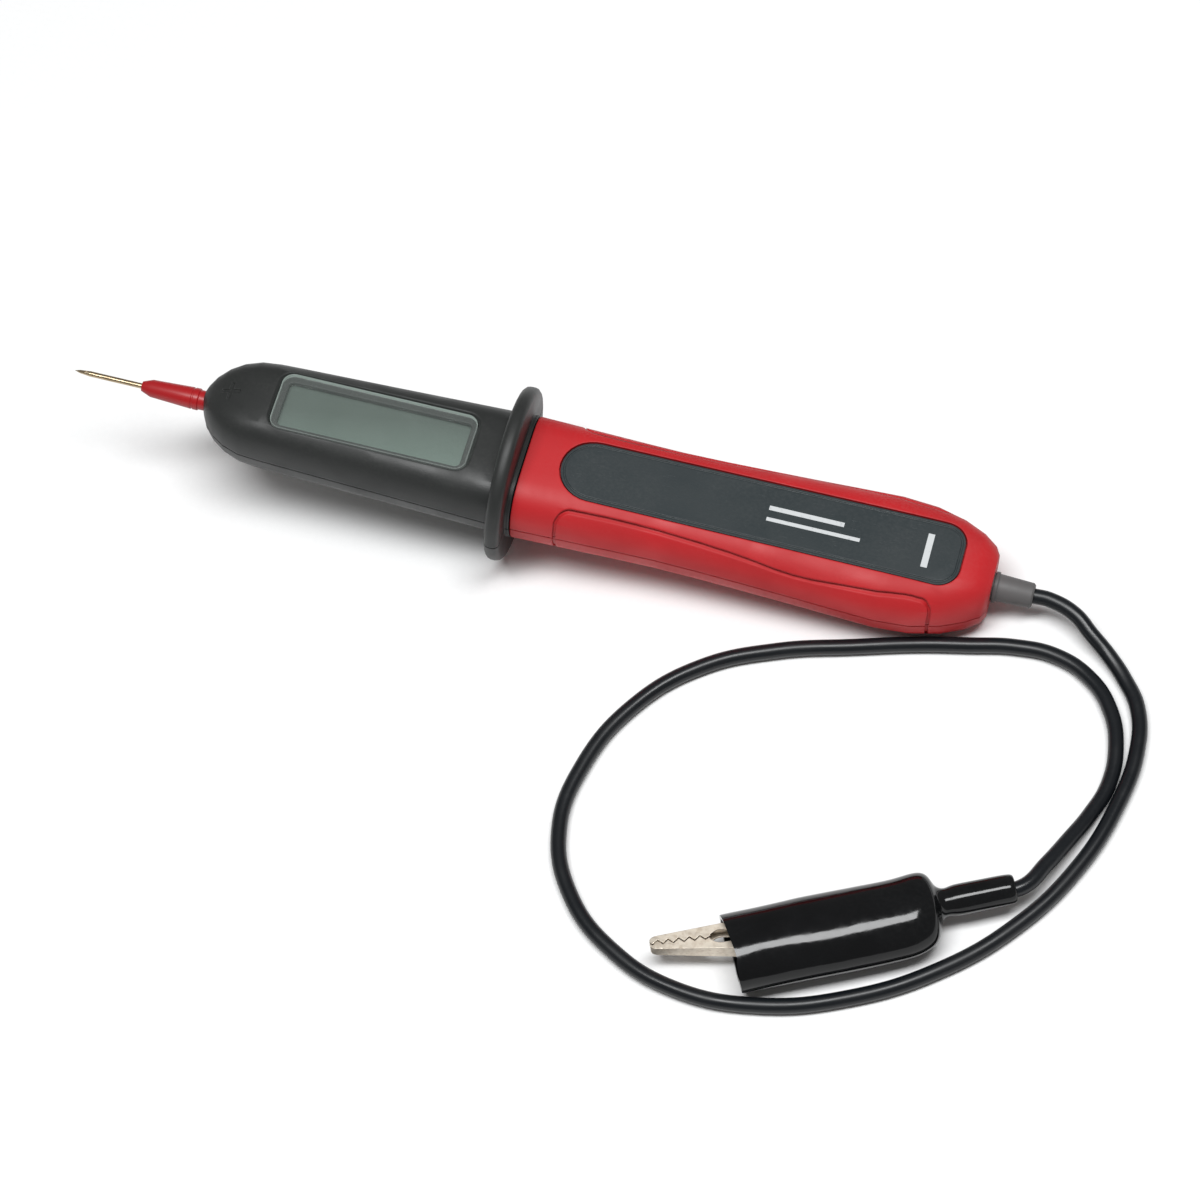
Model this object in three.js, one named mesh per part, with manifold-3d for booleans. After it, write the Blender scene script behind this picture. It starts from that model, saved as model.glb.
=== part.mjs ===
// A digital voltage tester for car wiring: a needle probe, a display housing with a round hand guard,
// a red handle, and a grounding cord that ends in a booted alligator clip.
// The tester is built along its own +X axis (needle at -X, display up) with the guard centre at zero,
// then tipped so that it lies on its guard and the handle's rear edge. The clip lies on its side.
import * as THREE from "three";
import { mergeVertices } from "three/addons/utils/BufferGeometryUtils.js";
import Module from "manifold-3d";

const wasm = await Module();
wasm.setup();

// ---------- driving dimensions, millimetres ----------
const GAP = 0.3; // clearance between separate pieces
const NEEDLE_RADIUS = 0.62;
const NEEDLE_TIP_X = -100;
const NEEDLE_POINT_LENGTH = 3.6;
const NEEDLE_EYE_X = -97.3;
const NEEDLE_EYE_RADIUS = 0.3;
const SLEEVE_FRONT_X = -84.4;
const SLEEVE_REAR_X = -71.4;
const SLEEVE_FRONT_RADIUS = 1.95;
const SLEEVE_REAR_RADIUS = 2.45;
const SLEEVE_COLLAR_RADIUS = 2.2;
const SLEEVE_FLANGE_RADIUS = 3.3;

const NOSE_X = -69.8;
const HOUSING_NOSE_HALF_WIDTH = 11.4; // where the nose's rounding ends
const HOUSING_REAR_HALF_WIDTH = 13.7; // at the guard
const HOUSING_NOSE_LENGTH = 13;
const BODY_DEPTH = 10.3; // half height of the body's oval before its top is flattened
const BODY_FLAT = 9; // half height of the flattened body
const BODY_POWER = 2.35; // squareness of the oval
const FLAT_SHARPNESS = 16;
const HOUSING_WALL = 2;
const HOUSING_ROOF = 2.9;

const GUARD_RADIUS = 19.3;
const GUARD_THICKNESS = 3.4;
const GUARD_RIM = 1.3;
const COLLAR_LENGTH = 0.9;
const TONGUE_END_X = 9;

const HANDLE_LENGTH = 103.6;
const HANDLE_WALL = 2.2;
const HANDLE_WAIST = 13;
const HANDLE_WIDEST = 14.9;
const HANDLE_REAR_WALL = 2;
const HANDLE_SCREW_MARGIN = 14.5; // from the rear screws to the rear of the handle

const WINDOW_CENTRE_X = -31.3;
const WINDOW_LENGTH = 44;
const WINDOW_WIDTH = 14;
const WINDOW_CORNER = 2.6;
const WINDOW_TOP_Z = 8.3;
const WINDOW_THICKNESS = 1;
const WINDOW_LEDGE = 1.4;
const WINDOW_BEVEL = 1.1;

const LABEL_FRONT_X = 10.8;
const LABEL_REAR_MARGIN = 7.3; // from its rear edge to the rear of the handle
const LABEL_WIDTH = 14.4;
const LABEL_REAR_WIDTH = 15.2;
const LABEL_CORNER = 4.8; // at the rear; the front is a half round
const LABEL_FLOOR_Z = 7.5;
const LABEL_INSET = 0.25;

const GRIP_FRONT_X = 12.3;
const GRIP_REAR_MARGIN = 11.1;
const GRIP_HALF_HEIGHT = 7.8; // at its front and rear
const GRIP_WAIST_MARGIN = 41.5; // from its waist to the rear of the handle
const GRIP_WAIST_DROP = 1.5; // how much lower its edge runs at the waist
const GRIP_CORNER = 3.2;
const GRIP_GROOVE = 0.7;
const GRIP_GROOVE_DEPTH = 0.5;

const BOARD_FRONT_X = -54.5;
const BOARD_REAR_X = -9;
const BOARD_WIDTH = 17;
const BOARD_THICKNESS = 1.2;
const LCD_THICKNESS = 1.6;

const SCREW_RADIUS = 1.1;
const SCREW_HEAD_RADIUS = 2.1;
const SCREW_HEAD_HEIGHT = 1.5;
const SCREW_LENGTH = 8;
const BOSS_RADIUS = 2.5;

const CORD_RADIUS = 1.7;
const RELIEF_LENGTH = 9; // behind the handle
const RELIEF_WALL = 1.05;
const RELIEF_END_WALL = 0.75;

const CLIP_LENGTH = 77; // from the jaws' tip to the end of the boot's tail
const CLIP_HINGE_X = 25;
const JAW_TIP_HEIGHT = 1.45;
const JAW_ROOT_HEIGHT = 3.4;
const JAW_SHEET = 0.5;
const JAW_TIP_WIDTH = 2.8;
const JAW_WIDTH = 4.6;
const MOVING_ROOT_WIDTH = 3; // the moving jaw's hinge end nests inside the fixed jaw
const JAW_END_X = 44;
const JAW_END_HEIGHT = 6;
const JAW_HANDLE_DEPTH = 2;
const JAW_END_CLEARANCE = 1.6; // behind the jaws' ends, so that they swing past the cord's ferrule
const BITE_GAP = 0.35; // between the closed jaws' teeth
const TOOTH_PITCH = 2.2;
const TOOTH_COUNT = 5;
const TOOTH_HEIGHT = 0.45; // to either side of the bite line
const RIVET_RADIUS = 1.2;
const BOOT_MOUTH_X = 17;
const BOOT_SHOULDER_X = 59;
const BOOT_WIDTH = 18.2;
const BOOT_HEIGHT = 14;
const BOOT_WALL = 0.9;
const BOOT_SHOULDER_WALL = 4.4;
const BOOT_TAIL_WALL = 1.5;
const FERRULE_WALL = 0.5;
const BOOT_TAIL_OFFSET = 1.8; // the tail's line lies beside the barrel's
const BOOT_SKEW = 0.125; // radians: the loose boot lies turned from the jaws' line
const CLIP_PLACE = new THREE.Vector2(55.2, -98.3); // the jaws' tip on the table
const CLIP_TURN = 0.315; // radians, from +X towards +Y

const FAR = 60; // longer than any piece that a cutter goes through
const SIDES = 32;
const INNER_SIDES = 16;
const HOUSING_STEPS = 20;
const HANDLE_STEPS = 16;

// ---------- materials ----------
function material(color, roughness, metalness = 0) {
  return new THREE.MeshStandardMaterial({ color, roughness, metalness });
}

const STEEL = [0xc9b79c, 0.3, 1];
const BRASS = [0xb8924c, 0.35, 1];
const NICKEL = [0xb9aa96, 0.35, 1];
const ZINC = [0xa9acae, 0.4, 1];
const BLACK_PLASTIC = [0x323434, 0.6];
const RED_PLASTIC = [0xb8282c, 0.45];
const GREY_RUBBER = [0x6e6963, 0.7];
const BLACK_PVC = [0x0c0d0e, 0.25];

// ---------- solids ----------
function solid(geometry) {
  const bare = geometry.index ? geometry.toNonIndexed() : geometry.clone();
  bare.deleteAttribute("normal");
  bare.deleteAttribute("uv");
  const merged = mergeVertices(bare, 1e-4);
  return new wasm.Manifold(
    new wasm.Mesh({
      numProp: 3,
      vertProperties: merged.attributes.position.array,
      triVerts: new Uint32Array(merged.index.array),
    }),
  );
}

function mesh(name, shape, look) {
  const { vertProperties, triVerts } = shape.getMesh();
  const geometry = new THREE.BufferGeometry();
  geometry.setAttribute("position", new THREE.BufferAttribute(vertProperties, 3));
  geometry.setIndex(new THREE.BufferAttribute(triVerts, 1));
  geometry.computeVertexNormals();
  const made = new THREE.Mesh(geometry, material(...look));
  made.name = name;
  return made;
}

function box(x0, x1, y0, y1, z0, z1) {
  const geometry = new THREE.BoxGeometry(x1 - x0, y1 - y0, z1 - z0);
  return solid(geometry.translate((x0 + x1) / 2, (y0 + y1) / 2, (z0 + z1) / 2));
}

// A turned solid about the X axis; the profile holds [x, radius] pairs.
function turned(profile, sides = 20) {
  const points = profile.map(([x, radius]) => new THREE.Vector2(radius, x));
  return solid(new THREE.LatheGeometry(points, sides).rotateZ(-Math.PI / 2));
}

function rod(x, y, radius, z0, z1, sides = 12) {
  const geometry = new THREE.CylinderGeometry(radius, radius, z1 - z0, sides);
  return solid(geometry.rotateX(Math.PI / 2).translate(x, y, (z0 + z1) / 2));
}

function slab(shape, z0, z1, segments = 5) {
  const options = { depth: z1 - z0, bevelEnabled: false, curveSegments: segments };
  return solid(new THREE.ExtrudeGeometry(shape, options).translate(0, 0, z0));
}

function roundedRect(x0, x1, y0, y1, radius) {
  const shape = new THREE.Shape();
  shape.moveTo(x0 + radius, y0);
  shape.lineTo(x1 - radius, y0);
  shape.absarc(x1 - radius, y0 + radius, radius, -Math.PI / 2, 0);
  shape.lineTo(x1, y1 - radius);
  shape.absarc(x1 - radius, y1 - radius, radius, 0, Math.PI / 2);
  shape.lineTo(x0 + radius, y1);
  shape.absarc(x0 + radius, y1 - radius, radius, Math.PI / 2, Math.PI);
  shape.lineTo(x0, y0 + radius);
  shape.absarc(x0 + radius, y0 + radius, radius, Math.PI, 1.5 * Math.PI);
  return shape;
}

function tube(points, radius, steps, sides = 8) {
  const profile = new THREE.Shape();
  profile.absarc(0, 0, radius, 0, 2 * Math.PI);
  const path = new THREE.CatmullRomCurve3(points, false, "centripetal");
  // A full circle gets two points for each curve segment.
  const options = { steps, extrudePath: path, curveSegments: sides / 2, bevelEnabled: false };
  return solid(new THREE.ExtrudeGeometry(profile, options));
}

// Limits a height softly, so that an oval gets a nearly flat top.
function flattened(height, limit) {
  const ratio = Math.abs(height) / limit;
  return height / (1 + ratio ** FLAT_SHARPNESS) ** (1 / FLAT_SHARPNESS);
}

// A body along X whose section is a squarish oval, flattened above and below.
function loft({ from, to, width, depth, flat, steps, power = BODY_POWER, sides = SIDES }) {
  const geometry = new THREE.CylinderGeometry(1, 1, 1, sides, steps);
  const position = geometry.attributes.position;
  for (let i = 0; i < position.count; i++) {
    const share = 0.5 - 0.5 * Math.cos(Math.PI * (position.getY(i) + 0.5));
    const x = from + share * (to - from);
    const across = position.getZ(i);
    const up = position.getX(i);
    const y = Math.sign(across) * Math.abs(across) ** (2 / power) * width(x);
    const z = Math.sign(up) * Math.abs(up) ** (2 / power) * depth(x);
    position.setXYZ(i, x, y, flattened(z, flat(x)));
  }
  return solid(geometry);
}

const UPPER = box(-FAR * 2, FAR * 2, -FAR, FAR, GAP / 2, FAR);
const LOWER = box(-FAR * 2, FAR * 2, -FAR, FAR, -FAR, -GAP / 2);

// ---------- the bodies' outlines ----------
// A quarter of an ellipse that rises from the end of a body to its full size.
function rise(distance, length) {
  const left = Math.min(1, Math.max(0, 1 - distance / length));
  return Math.sqrt(1 - left * left);
}

const NOSE_LIP = 0.15; // how far before the nose's end its rounding would close

function housingWidth(x) {
  const slope = (HOUSING_REAR_HALF_WIDTH - HOUSING_NOSE_HALF_WIDTH) / (-NOSE_X - HOUSING_NOSE_LENGTH);
  return (HOUSING_REAR_HALF_WIDTH + slope * x) * rise(x - NOSE_X + NOSE_LIP, HOUSING_NOSE_LENGTH);
}

function housingScale(x) {
  return rise(x - NOSE_X + 1.2, HOUSING_NOSE_LENGTH * 1.45);
}

function housing(inset, roof, from, to, steps, sides = SIDES) {
  return loft({
    sides,
    from,
    to,
    steps,
    width: (x) => Math.max(housingWidth(x) - inset, 0.5),
    depth: (x) => BODY_DEPTH * housingScale(x) - inset,
    flat: (x) => BODY_FLAT * housingScale(x) - roof,
  });
}

const HANDLE_FRONT_X = GUARD_THICKNESS / 2 + COLLAR_LENGTH + GAP;
const HANDLE_REAR_X = HANDLE_FRONT_X + HANDLE_LENGTH;
const LABEL_REAR_X = HANDLE_REAR_X - LABEL_REAR_MARGIN;
const GRIP_REAR_X = HANDLE_REAR_X - GRIP_REAR_MARGIN;
const GRIP_WAIST_X = HANDLE_REAR_X - GRIP_WAIST_MARGIN;
const RELIEF_END_X = HANDLE_REAR_X + RELIEF_LENGTH;
const CORD_BORE = CORD_RADIUS + GAP;
const RELIEF_RADIUS = CORD_BORE + RELIEF_WALL;
const RELIEF_END_RADIUS = CORD_BORE + RELIEF_END_WALL;
const BOOT_TAIL_RADIUS = CORD_BORE + BOOT_TAIL_WALL;
const FERRULE_RADIUS = CORD_BORE + FERRULE_WALL;
const HANDLE_OUTLINE = new THREE.SplineCurve([
  new THREE.Vector2(HANDLE_FRONT_X - 8, HOUSING_REAR_HALF_WIDTH + 0.1),
  new THREE.Vector2(HANDLE_FRONT_X, HOUSING_REAR_HALF_WIDTH),
  new THREE.Vector2(HANDLE_FRONT_X + 0.16 * HANDLE_LENGTH, HANDLE_WAIST + 0.3),
  new THREE.Vector2(HANDLE_FRONT_X + 0.33 * HANDLE_LENGTH, HANDLE_WAIST),
  new THREE.Vector2(HANDLE_FRONT_X + 0.55 * HANDLE_LENGTH, HANDLE_WAIST + 0.8),
  new THREE.Vector2(HANDLE_FRONT_X + 0.72 * HANDLE_LENGTH, HANDLE_WIDEST - 0.25),
  new THREE.Vector2(HANDLE_FRONT_X + 0.81 * HANDLE_LENGTH, HANDLE_WIDEST),
  new THREE.Vector2(HANDLE_FRONT_X + 0.885 * HANDLE_LENGTH, HANDLE_WIDEST - 1.3),
  new THREE.Vector2(HANDLE_REAR_X - 6.5, HANDLE_WIDEST - 3.4),
  new THREE.Vector2(HANDLE_REAR_X - 1.6, HANDLE_WIDEST - 6.2),
  new THREE.Vector2(HANDLE_REAR_X, HANDLE_WIDEST - 8.6),
  new THREE.Vector2(HANDLE_REAR_X + 2, HANDLE_WIDEST - 12),
]);
const HANDLE_POINTS = HANDLE_OUTLINE.getPoints(200);

function handleWidth(x) {
  const next = HANDLE_POINTS.findIndex((point) => point.x >= x);
  const [a, b] = [HANDLE_POINTS[next - 1], HANDLE_POINTS[next]];
  return THREE.MathUtils.mapLinear(x, a.x, b.x, a.y, b.y);
}

function handleFlat(x) {
  return (BODY_FLAT + 0.2) * rise(HANDLE_REAR_X + 2.6 - x, 10);
}

function handle(inset, roof, from, to, steps, sides = SIDES) {
  return loft({
    sides,
    from,
    to,
    steps,
    width: (x) => handleWidth(x) - inset,
    depth: (x) => handleFlat(x) * (BODY_DEPTH / BODY_FLAT) - inset,
    flat: (x) => handleFlat(x) - roof,
  });
}

// ---------- screws and their bosses ----------
const HOUSING_SCREWS = [
  [NOSE_X + 11.4, 6.4],
  [NOSE_X + 11.4, -6.4],
  [-5, 8],
  [-5, -8],
];
const HANDLE_SCREWS = [
  [18, 7.6],
  [18, -7.6],
  [HANDLE_REAR_X - HANDLE_SCREW_MARGIN, 7.6],
  [HANDLE_REAR_X - HANDLE_SCREW_MARGIN, -7.6],
];
const SCREW_SEAT_Z = -5.4;

function screwHoles([x, y]) {
  const head = rod(x, y, SCREW_HEAD_RADIUS + GAP, -FAR, SCREW_SEAT_Z);
  return head.add(rod(x, y, SCREW_RADIUS + GAP, -FAR, SCREW_SEAT_Z + SCREW_LENGTH + GAP));
}

function withBosses(shell, outer, screws) {
  let whole = shell;
  for (const [x, y] of screws) {
    whole = whole.add(rod(x, y, BOSS_RADIUS + GAP, -FAR, FAR).intersect(outer));
  }
  for (const place of screws) {
    whole = whole.subtract(screwHoles(place));
  }
  return whole;
}

function screw(name, [x, y]) {
  const top = SCREW_SEAT_Z - GAP;
  const shank = rod(x, y, SCREW_RADIUS, top - 0.2, top + SCREW_LENGTH, 8);
  const head = rod(x, y, SCREW_HEAD_RADIUS, top - SCREW_HEAD_HEIGHT, top);
  const slotted = head.subtract(box(x - 1.3, x + 1.3, y - 0.25, y + 0.25, top - 2, top - 0.9));
  const crossed = slotted.subtract(box(x - 0.25, x + 0.25, y - 1.3, y + 1.3, top - 2, top - 0.9));
  return mesh(name, crossed.add(shank), ZINC);
}

// ---------- probe ----------
function probeNeedle() {
  const shoulder = NEEDLE_TIP_X + NEEDLE_POINT_LENGTH;
  const shank = turned(
    [
      [NEEDLE_TIP_X, 0],
      [NEEDLE_TIP_X + 1.2, 0.36],
      [shoulder, NEEDLE_RADIUS],
      [NOSE_X + 12, NEEDLE_RADIUS],
      [NOSE_X + 12, 0],
    ],
    14,
  );
  const eye = rod(NEEDLE_EYE_X, 0, NEEDLE_EYE_RADIUS, -2, 2, 12);
  return mesh("probe_needle", shank.subtract(eye), STEEL);
}

const FLANGE_X = NOSE_X + 3.4;

function probeSleeve() {
  const bore = NEEDLE_RADIUS + GAP;
  const groove = SLEEVE_REAR_X - 1.5;
  return mesh(
    "probe_sleeve",
    turned([
      [SLEEVE_FRONT_X, bore],
      [SLEEVE_FRONT_X, bore + 0.2],
      [SLEEVE_FRONT_X + 2.2, SLEEVE_FRONT_RADIUS],
      [groove, SLEEVE_REAR_RADIUS],
      [groove + 0.1, SLEEVE_REAR_RADIUS - 0.15],
      [groove + 0.4, SLEEVE_REAR_RADIUS - 0.15],
      [groove + 0.5, SLEEVE_REAR_RADIUS],
      [SLEEVE_REAR_X, SLEEVE_REAR_RADIUS],
      [SLEEVE_REAR_X + 0.25, SLEEVE_COLLAR_RADIUS],
      [FLANGE_X, SLEEVE_COLLAR_RADIUS],
      [FLANGE_X, SLEEVE_FLANGE_RADIUS],
      [FLANGE_X + 2, SLEEVE_FLANGE_RADIUS],
      [FLANGE_X + 2, bore],
      [SLEEVE_FRONT_X, bore],
    ]),
    RED_PLASTIC,
  );
}

const SOCKET_X = FLANGE_X + 2 + GAP;

function probeSocket() {
  return mesh(
    "probe_socket",
    turned([
      [SOCKET_X, NEEDLE_RADIUS + GAP],
      [SOCKET_X, 1.7],
      [SOCKET_X + 7.6, 1.7],
      [SOCKET_X + 7.6, NEEDLE_RADIUS + GAP],
      [SOCKET_X, NEEDLE_RADIUS + GAP],
    ]),
    BRASS,
  );
}

function probeLead() {
  const start = NOSE_X + 12 + GAP;
  const points = [
    new THREE.Vector3(start, 0, 0),
    new THREE.Vector3(start + 1.4, 0, -0.1),
    new THREE.Vector3(BOARD_FRONT_X - GAP, 0, -BOARD_THICKNESS / 2),
  ];
  return mesh("probe_lead", tube(points, 0.35, 6), BRASS);
}

// ---------- display housing ----------
function guard() {
  const half = GUARD_THICKNESS / 2;
  const profile = [[-half, 0]];
  const corners = [
    [-half + GUARD_RIM, Math.PI],
    [half - GUARD_RIM, Math.PI / 2],
  ];
  for (const [x, start] of corners) {
    for (let step = 0; step <= 3; step++) {
      const angle = start - (step * Math.PI) / 6;
      const radius = GUARD_RADIUS - GUARD_RIM + GUARD_RIM * Math.sin(angle);
      profile.push([x + GUARD_RIM * Math.cos(angle), radius]);
    }
  }
  profile.push([half, 0]);
  return turned(profile, 40);
}

function windowSlab(grow, z0, z1) {
  const [halfLength, halfWidth] = [WINDOW_LENGTH / 2 + grow, WINDOW_WIDTH / 2 + grow];
  const shape = roundedRect(-halfLength, halfLength, -halfWidth, halfWidth, WINDOW_CORNER + grow);
  return slab(shape, z0, z1).translate([WINDOW_CENTRE_X, 0, 0]);
}

// The bevelled recess round the window, wider at the top.
function windowRecess() {
  const [halfLength, halfWidth] = [WINDOW_LENGTH / 2 + GAP, WINDOW_WIDTH / 2 + GAP];
  const shape = roundedRect(-halfLength, halfLength, -halfWidth, halfWidth, WINDOW_CORNER + GAP);
  const geometry = new THREE.ExtrudeGeometry(shape, {
    depth: 4,
    bevelThickness: WINDOW_BEVEL,
    bevelSize: WINDOW_BEVEL,
    bevelSegments: 1,
    curveSegments: 5,
  });
  return solid(geometry.translate(WINDOW_CENTRE_X, 0, WINDOW_TOP_Z + WINDOW_BEVEL));
}

// The polarity mark, engraved where the nose slopes down.
function plusMark() {
  const [x, arm, stroke] = [NOSE_X + 6.2, 2.1, 0.4];
  const mark = box(x - arm, x + arm, -stroke, stroke, 0, FAR);
  return mark.add(box(x - stroke, x + stroke, -arm, arm, 0, FAR));
}

function frontHousing() {
  const half = GUARD_THICKNESS / 2;
  const collarEnd = half + COLLAR_LENGTH;
  const outside = housing(0, 0, NOSE_X, half, HOUSING_STEPS);
  const collar = handle(-0.1, -0.1, half - 1, collarEnd, 1);
  const tongue = handle(HANDLE_WALL + GAP, HANDLE_WALL + GAP, collarEnd - 0.5, TONGUE_END_X, 3, INNER_SIDES);
  const outer = outside.add(guard()).add(collar).add(tongue);
  const cavity = housing(HOUSING_WALL, HOUSING_ROOF, NOSE_X + 9.4, -half, 4, INNER_SIDES);
  const neckWall = HANDLE_WALL * 2;
  const neck = handle(neckWall, neckWall, -half - 0.5, TONGUE_END_X + 1, 1, INNER_SIDES);
  const bore = turned([
    [NOSE_X - 1, 0],
    [NOSE_X - 1, SLEEVE_COLLAR_RADIUS + GAP],
    [FLANGE_X - GAP, SLEEVE_COLLAR_RADIUS + GAP],
    [FLANGE_X - GAP, SLEEVE_FLANGE_RADIUS + GAP],
    [SOCKET_X, SLEEVE_FLANGE_RADIUS + GAP],
    [SOCKET_X, 2],
    [NOSE_X + 11, 2],
    [NOSE_X + 11, 0],
  ]);
  const hollow = cavity.add(neck).add(bore);
  let shell = withBosses(outer.subtract(hollow), outside, HOUSING_SCREWS);
  shell = shell.subtract(bore);
  shell = shell.subtract(windowSlab(GAP, WINDOW_TOP_Z - WINDOW_THICKNESS - GAP, FAR));
  shell = shell.subtract(windowSlab(-WINDOW_LEDGE, 1, FAR)).subtract(windowRecess());
  const skin = housing(0.3, 0.3, NOSE_X, half, HOUSING_STEPS);
  shell = shell.subtract(plusMark().subtract(skin));
  return [
    mesh("front_housing_top", shell.intersect(UPPER), BLACK_PLASTIC),
    mesh("front_housing_bottom", shell.intersect(LOWER), BLACK_PLASTIC),
  ];
}

function displayWindow() {
  const shape = windowSlab(0, WINDOW_TOP_Z - WINDOW_THICKNESS, WINDOW_TOP_Z);
  return mesh("display_window", shape, [0x93a39c, 0.08]);
}

// ---------- electronics ----------
const BOARD_TOP_Z = 0;
const LCD_TOP_Z = WINDOW_TOP_Z - WINDOW_THICKNESS - GAP - 1.5;
const LCD_FRAME_TOP_Z = LCD_TOP_Z - 0.8;
const LCD_HALF_LENGTH = WINDOW_LENGTH / 2 - 1.4;
const LCD_HALF_WIDTH = 6.2;
const FRAME_WALL = 1.1;
const STRIP_WIDTH = 1.4;

function displayStack() {
  const [x0, x1] = [WINDOW_CENTRE_X - LCD_HALF_LENGTH, WINDOW_CENTRE_X + LCD_HALF_LENGTH];
  const lcdFloor = LCD_TOP_Z - LCD_THICKNESS;
  const glass = box(x0, x1, -LCD_HALF_WIDTH, LCD_HALF_WIDTH, lcdFloor, LCD_TOP_Z);
  const inner = LCD_HALF_WIDTH + GAP;
  const outer = inner + FRAME_WALL;
  const [floor, top] = [BOARD_TOP_Z + GAP, LCD_FRAME_TOP_Z];
  const hole = box(x0 - GAP, x1 + GAP, -inner, inner, floor - 1, top + 1);
  const rim = box(x0 - outer + inner - GAP, x1 + outer - inner + GAP, -outer, outer, floor, top);
  const meshes = [
    mesh("lcd_panel", glass, [0x6e827a, 0.25]),
    mesh("lcd_frame", rim.subtract(hole), [0xd8d8d2, 0.6]),
  ];
  const strips = [
    ["contact_strip_left", 1],
    ["contact_strip_right", -1],
  ];
  for (const [name, side] of strips) {
    const centre = side * (LCD_HALF_WIDTH - STRIP_WIDTH);
    const [y0, y1] = [centre - STRIP_WIDTH / 2, centre + STRIP_WIDTH / 2];
    const strip = box(x0 + 2, x1 - 2, y0, y1, BOARD_TOP_Z + GAP, lcdFloor - GAP);
    meshes.push(mesh(name, strip, [0xb58c96, 0.8]));
  }
  return meshes;
}

function circuitBoard() {
  const half = BOARD_WIDTH / 2;
  const board = box(BOARD_FRONT_X, BOARD_REAR_X, -half, half, BOARD_TOP_Z - BOARD_THICKNESS, BOARD_TOP_Z);
  return mesh("circuit_board", board, [0x1f5a38, 0.45]);
}

// Components hang under the board.
function components() {
  const top = BOARD_TOP_Z - BOARD_THICKNESS - GAP;
  const chip = box(-40, -31, -3.6, 3.6, top - 1.6, top);
  const capacitor = box(-24, -20.5, -2, 2, top - 2.2, top);
  const body = turned([
    [-50, 0],
    [-50, 1.1],
    [-44, 1.1],
    [-44, 0],
  ]);
  const diode = box(-16.5, -12.5, -1.4, 1.4, top - 1.8, top);
  return [
    mesh("converter_chip", chip, [0x17181a, 0.5]),
    mesh("filter_capacitor", capacitor, [0xb49262, 0.5]),
    mesh("input_resistor", body.translate([0, 0, top - 1.1]), [0x7fa0b8, 0.4]),
    mesh("polarity_diode", diode, [0x1a1a1c, 0.5]),
  ];
}

// ---------- handle ----------
function labelShape(grow) {
  const front = LABEL_WIDTH / 2 + grow;
  const rear = LABEL_REAR_WIDTH / 2 + grow;
  const corner = LABEL_CORNER + grow;
  const end = LABEL_REAR_X + grow;
  const shape = new THREE.Shape();
  shape.absellipse(LABEL_FRONT_X + 7.4, 0, 7.4 + grow, front, Math.PI / 2, 1.5 * Math.PI);
  shape.lineTo(end - corner, -rear);
  shape.absarc(end - corner, -rear + corner, corner, -Math.PI / 2, 0);
  shape.lineTo(end, rear - corner);
  shape.absarc(end - corner, rear - corner, corner, 0, Math.PI / 2);
  return shape;
}

function labelPlate() {
  const plate = slab(labelShape(0), LABEL_FLOOR_Z + GAP, FAR, 8);
  const skin = handle(LABEL_INSET, LABEL_INSET, HANDLE_FRONT_X, HANDLE_REAR_X, HANDLE_STEPS);
  return mesh("label_plate", plate.intersect(skin), [0x3a4346, 0.45]);
}

// The grip panel's outline; its long edges dip towards each other at the waist.
function gripShape(inset) {
  const [x0, x1] = [GRIP_FRONT_X + inset, GRIP_REAR_X - inset];
  const [high, corner] = [GRIP_HALF_HEIGHT - inset, GRIP_CORNER - inset];
  const edge = new THREE.SplineCurve([
    new THREE.Vector2(x0 + corner, high),
    new THREE.Vector2(x0 + corner + 14, high),
    new THREE.Vector2(GRIP_WAIST_X - 14, high - 0.45 * GRIP_WAIST_DROP),
    new THREE.Vector2(GRIP_WAIST_X, high - GRIP_WAIST_DROP),
    new THREE.Vector2(GRIP_WAIST_X + 12, high - 0.6 * GRIP_WAIST_DROP),
    new THREE.Vector2(x1 - corner - 3, high - 0.15 * GRIP_WAIST_DROP),
    new THREE.Vector2(x1 - corner, high - 0.3 * GRIP_WAIST_DROP),
  ]).getPoints(18);
  const rear = edge[edge.length - 1].y;
  const shape = new THREE.Shape();
  shape.moveTo(x0, corner - high);
  shape.lineTo(x0, high - corner);
  shape.absarc(x0 + corner, high - corner, corner, Math.PI, Math.PI / 2, true);
  edge.forEach((point) => shape.lineTo(point.x, point.y));
  shape.absarc(x1 - corner, rear - corner, corner, Math.PI / 2, 0, true);
  shape.absarc(x1 - corner, corner - rear, corner, 0, -Math.PI / 2, true);
  edge.reverse().forEach((point) => shape.lineTo(point.x, -point.y));
  shape.absarc(x0 + corner, corner - high, corner, -Math.PI / 2, -Math.PI, true);
  return shape;
}

// The groove round the grip panel, a band cut a little way into both sides of the handle.
function gripBand() {
  const outer = slab(gripShape(0), -FAR, FAR);
  const band = outer.subtract(slab(gripShape(GRIP_GROOVE), -FAR - 1, FAR + 1));
  return band.rotate([90, 0, 0]);
}

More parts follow.
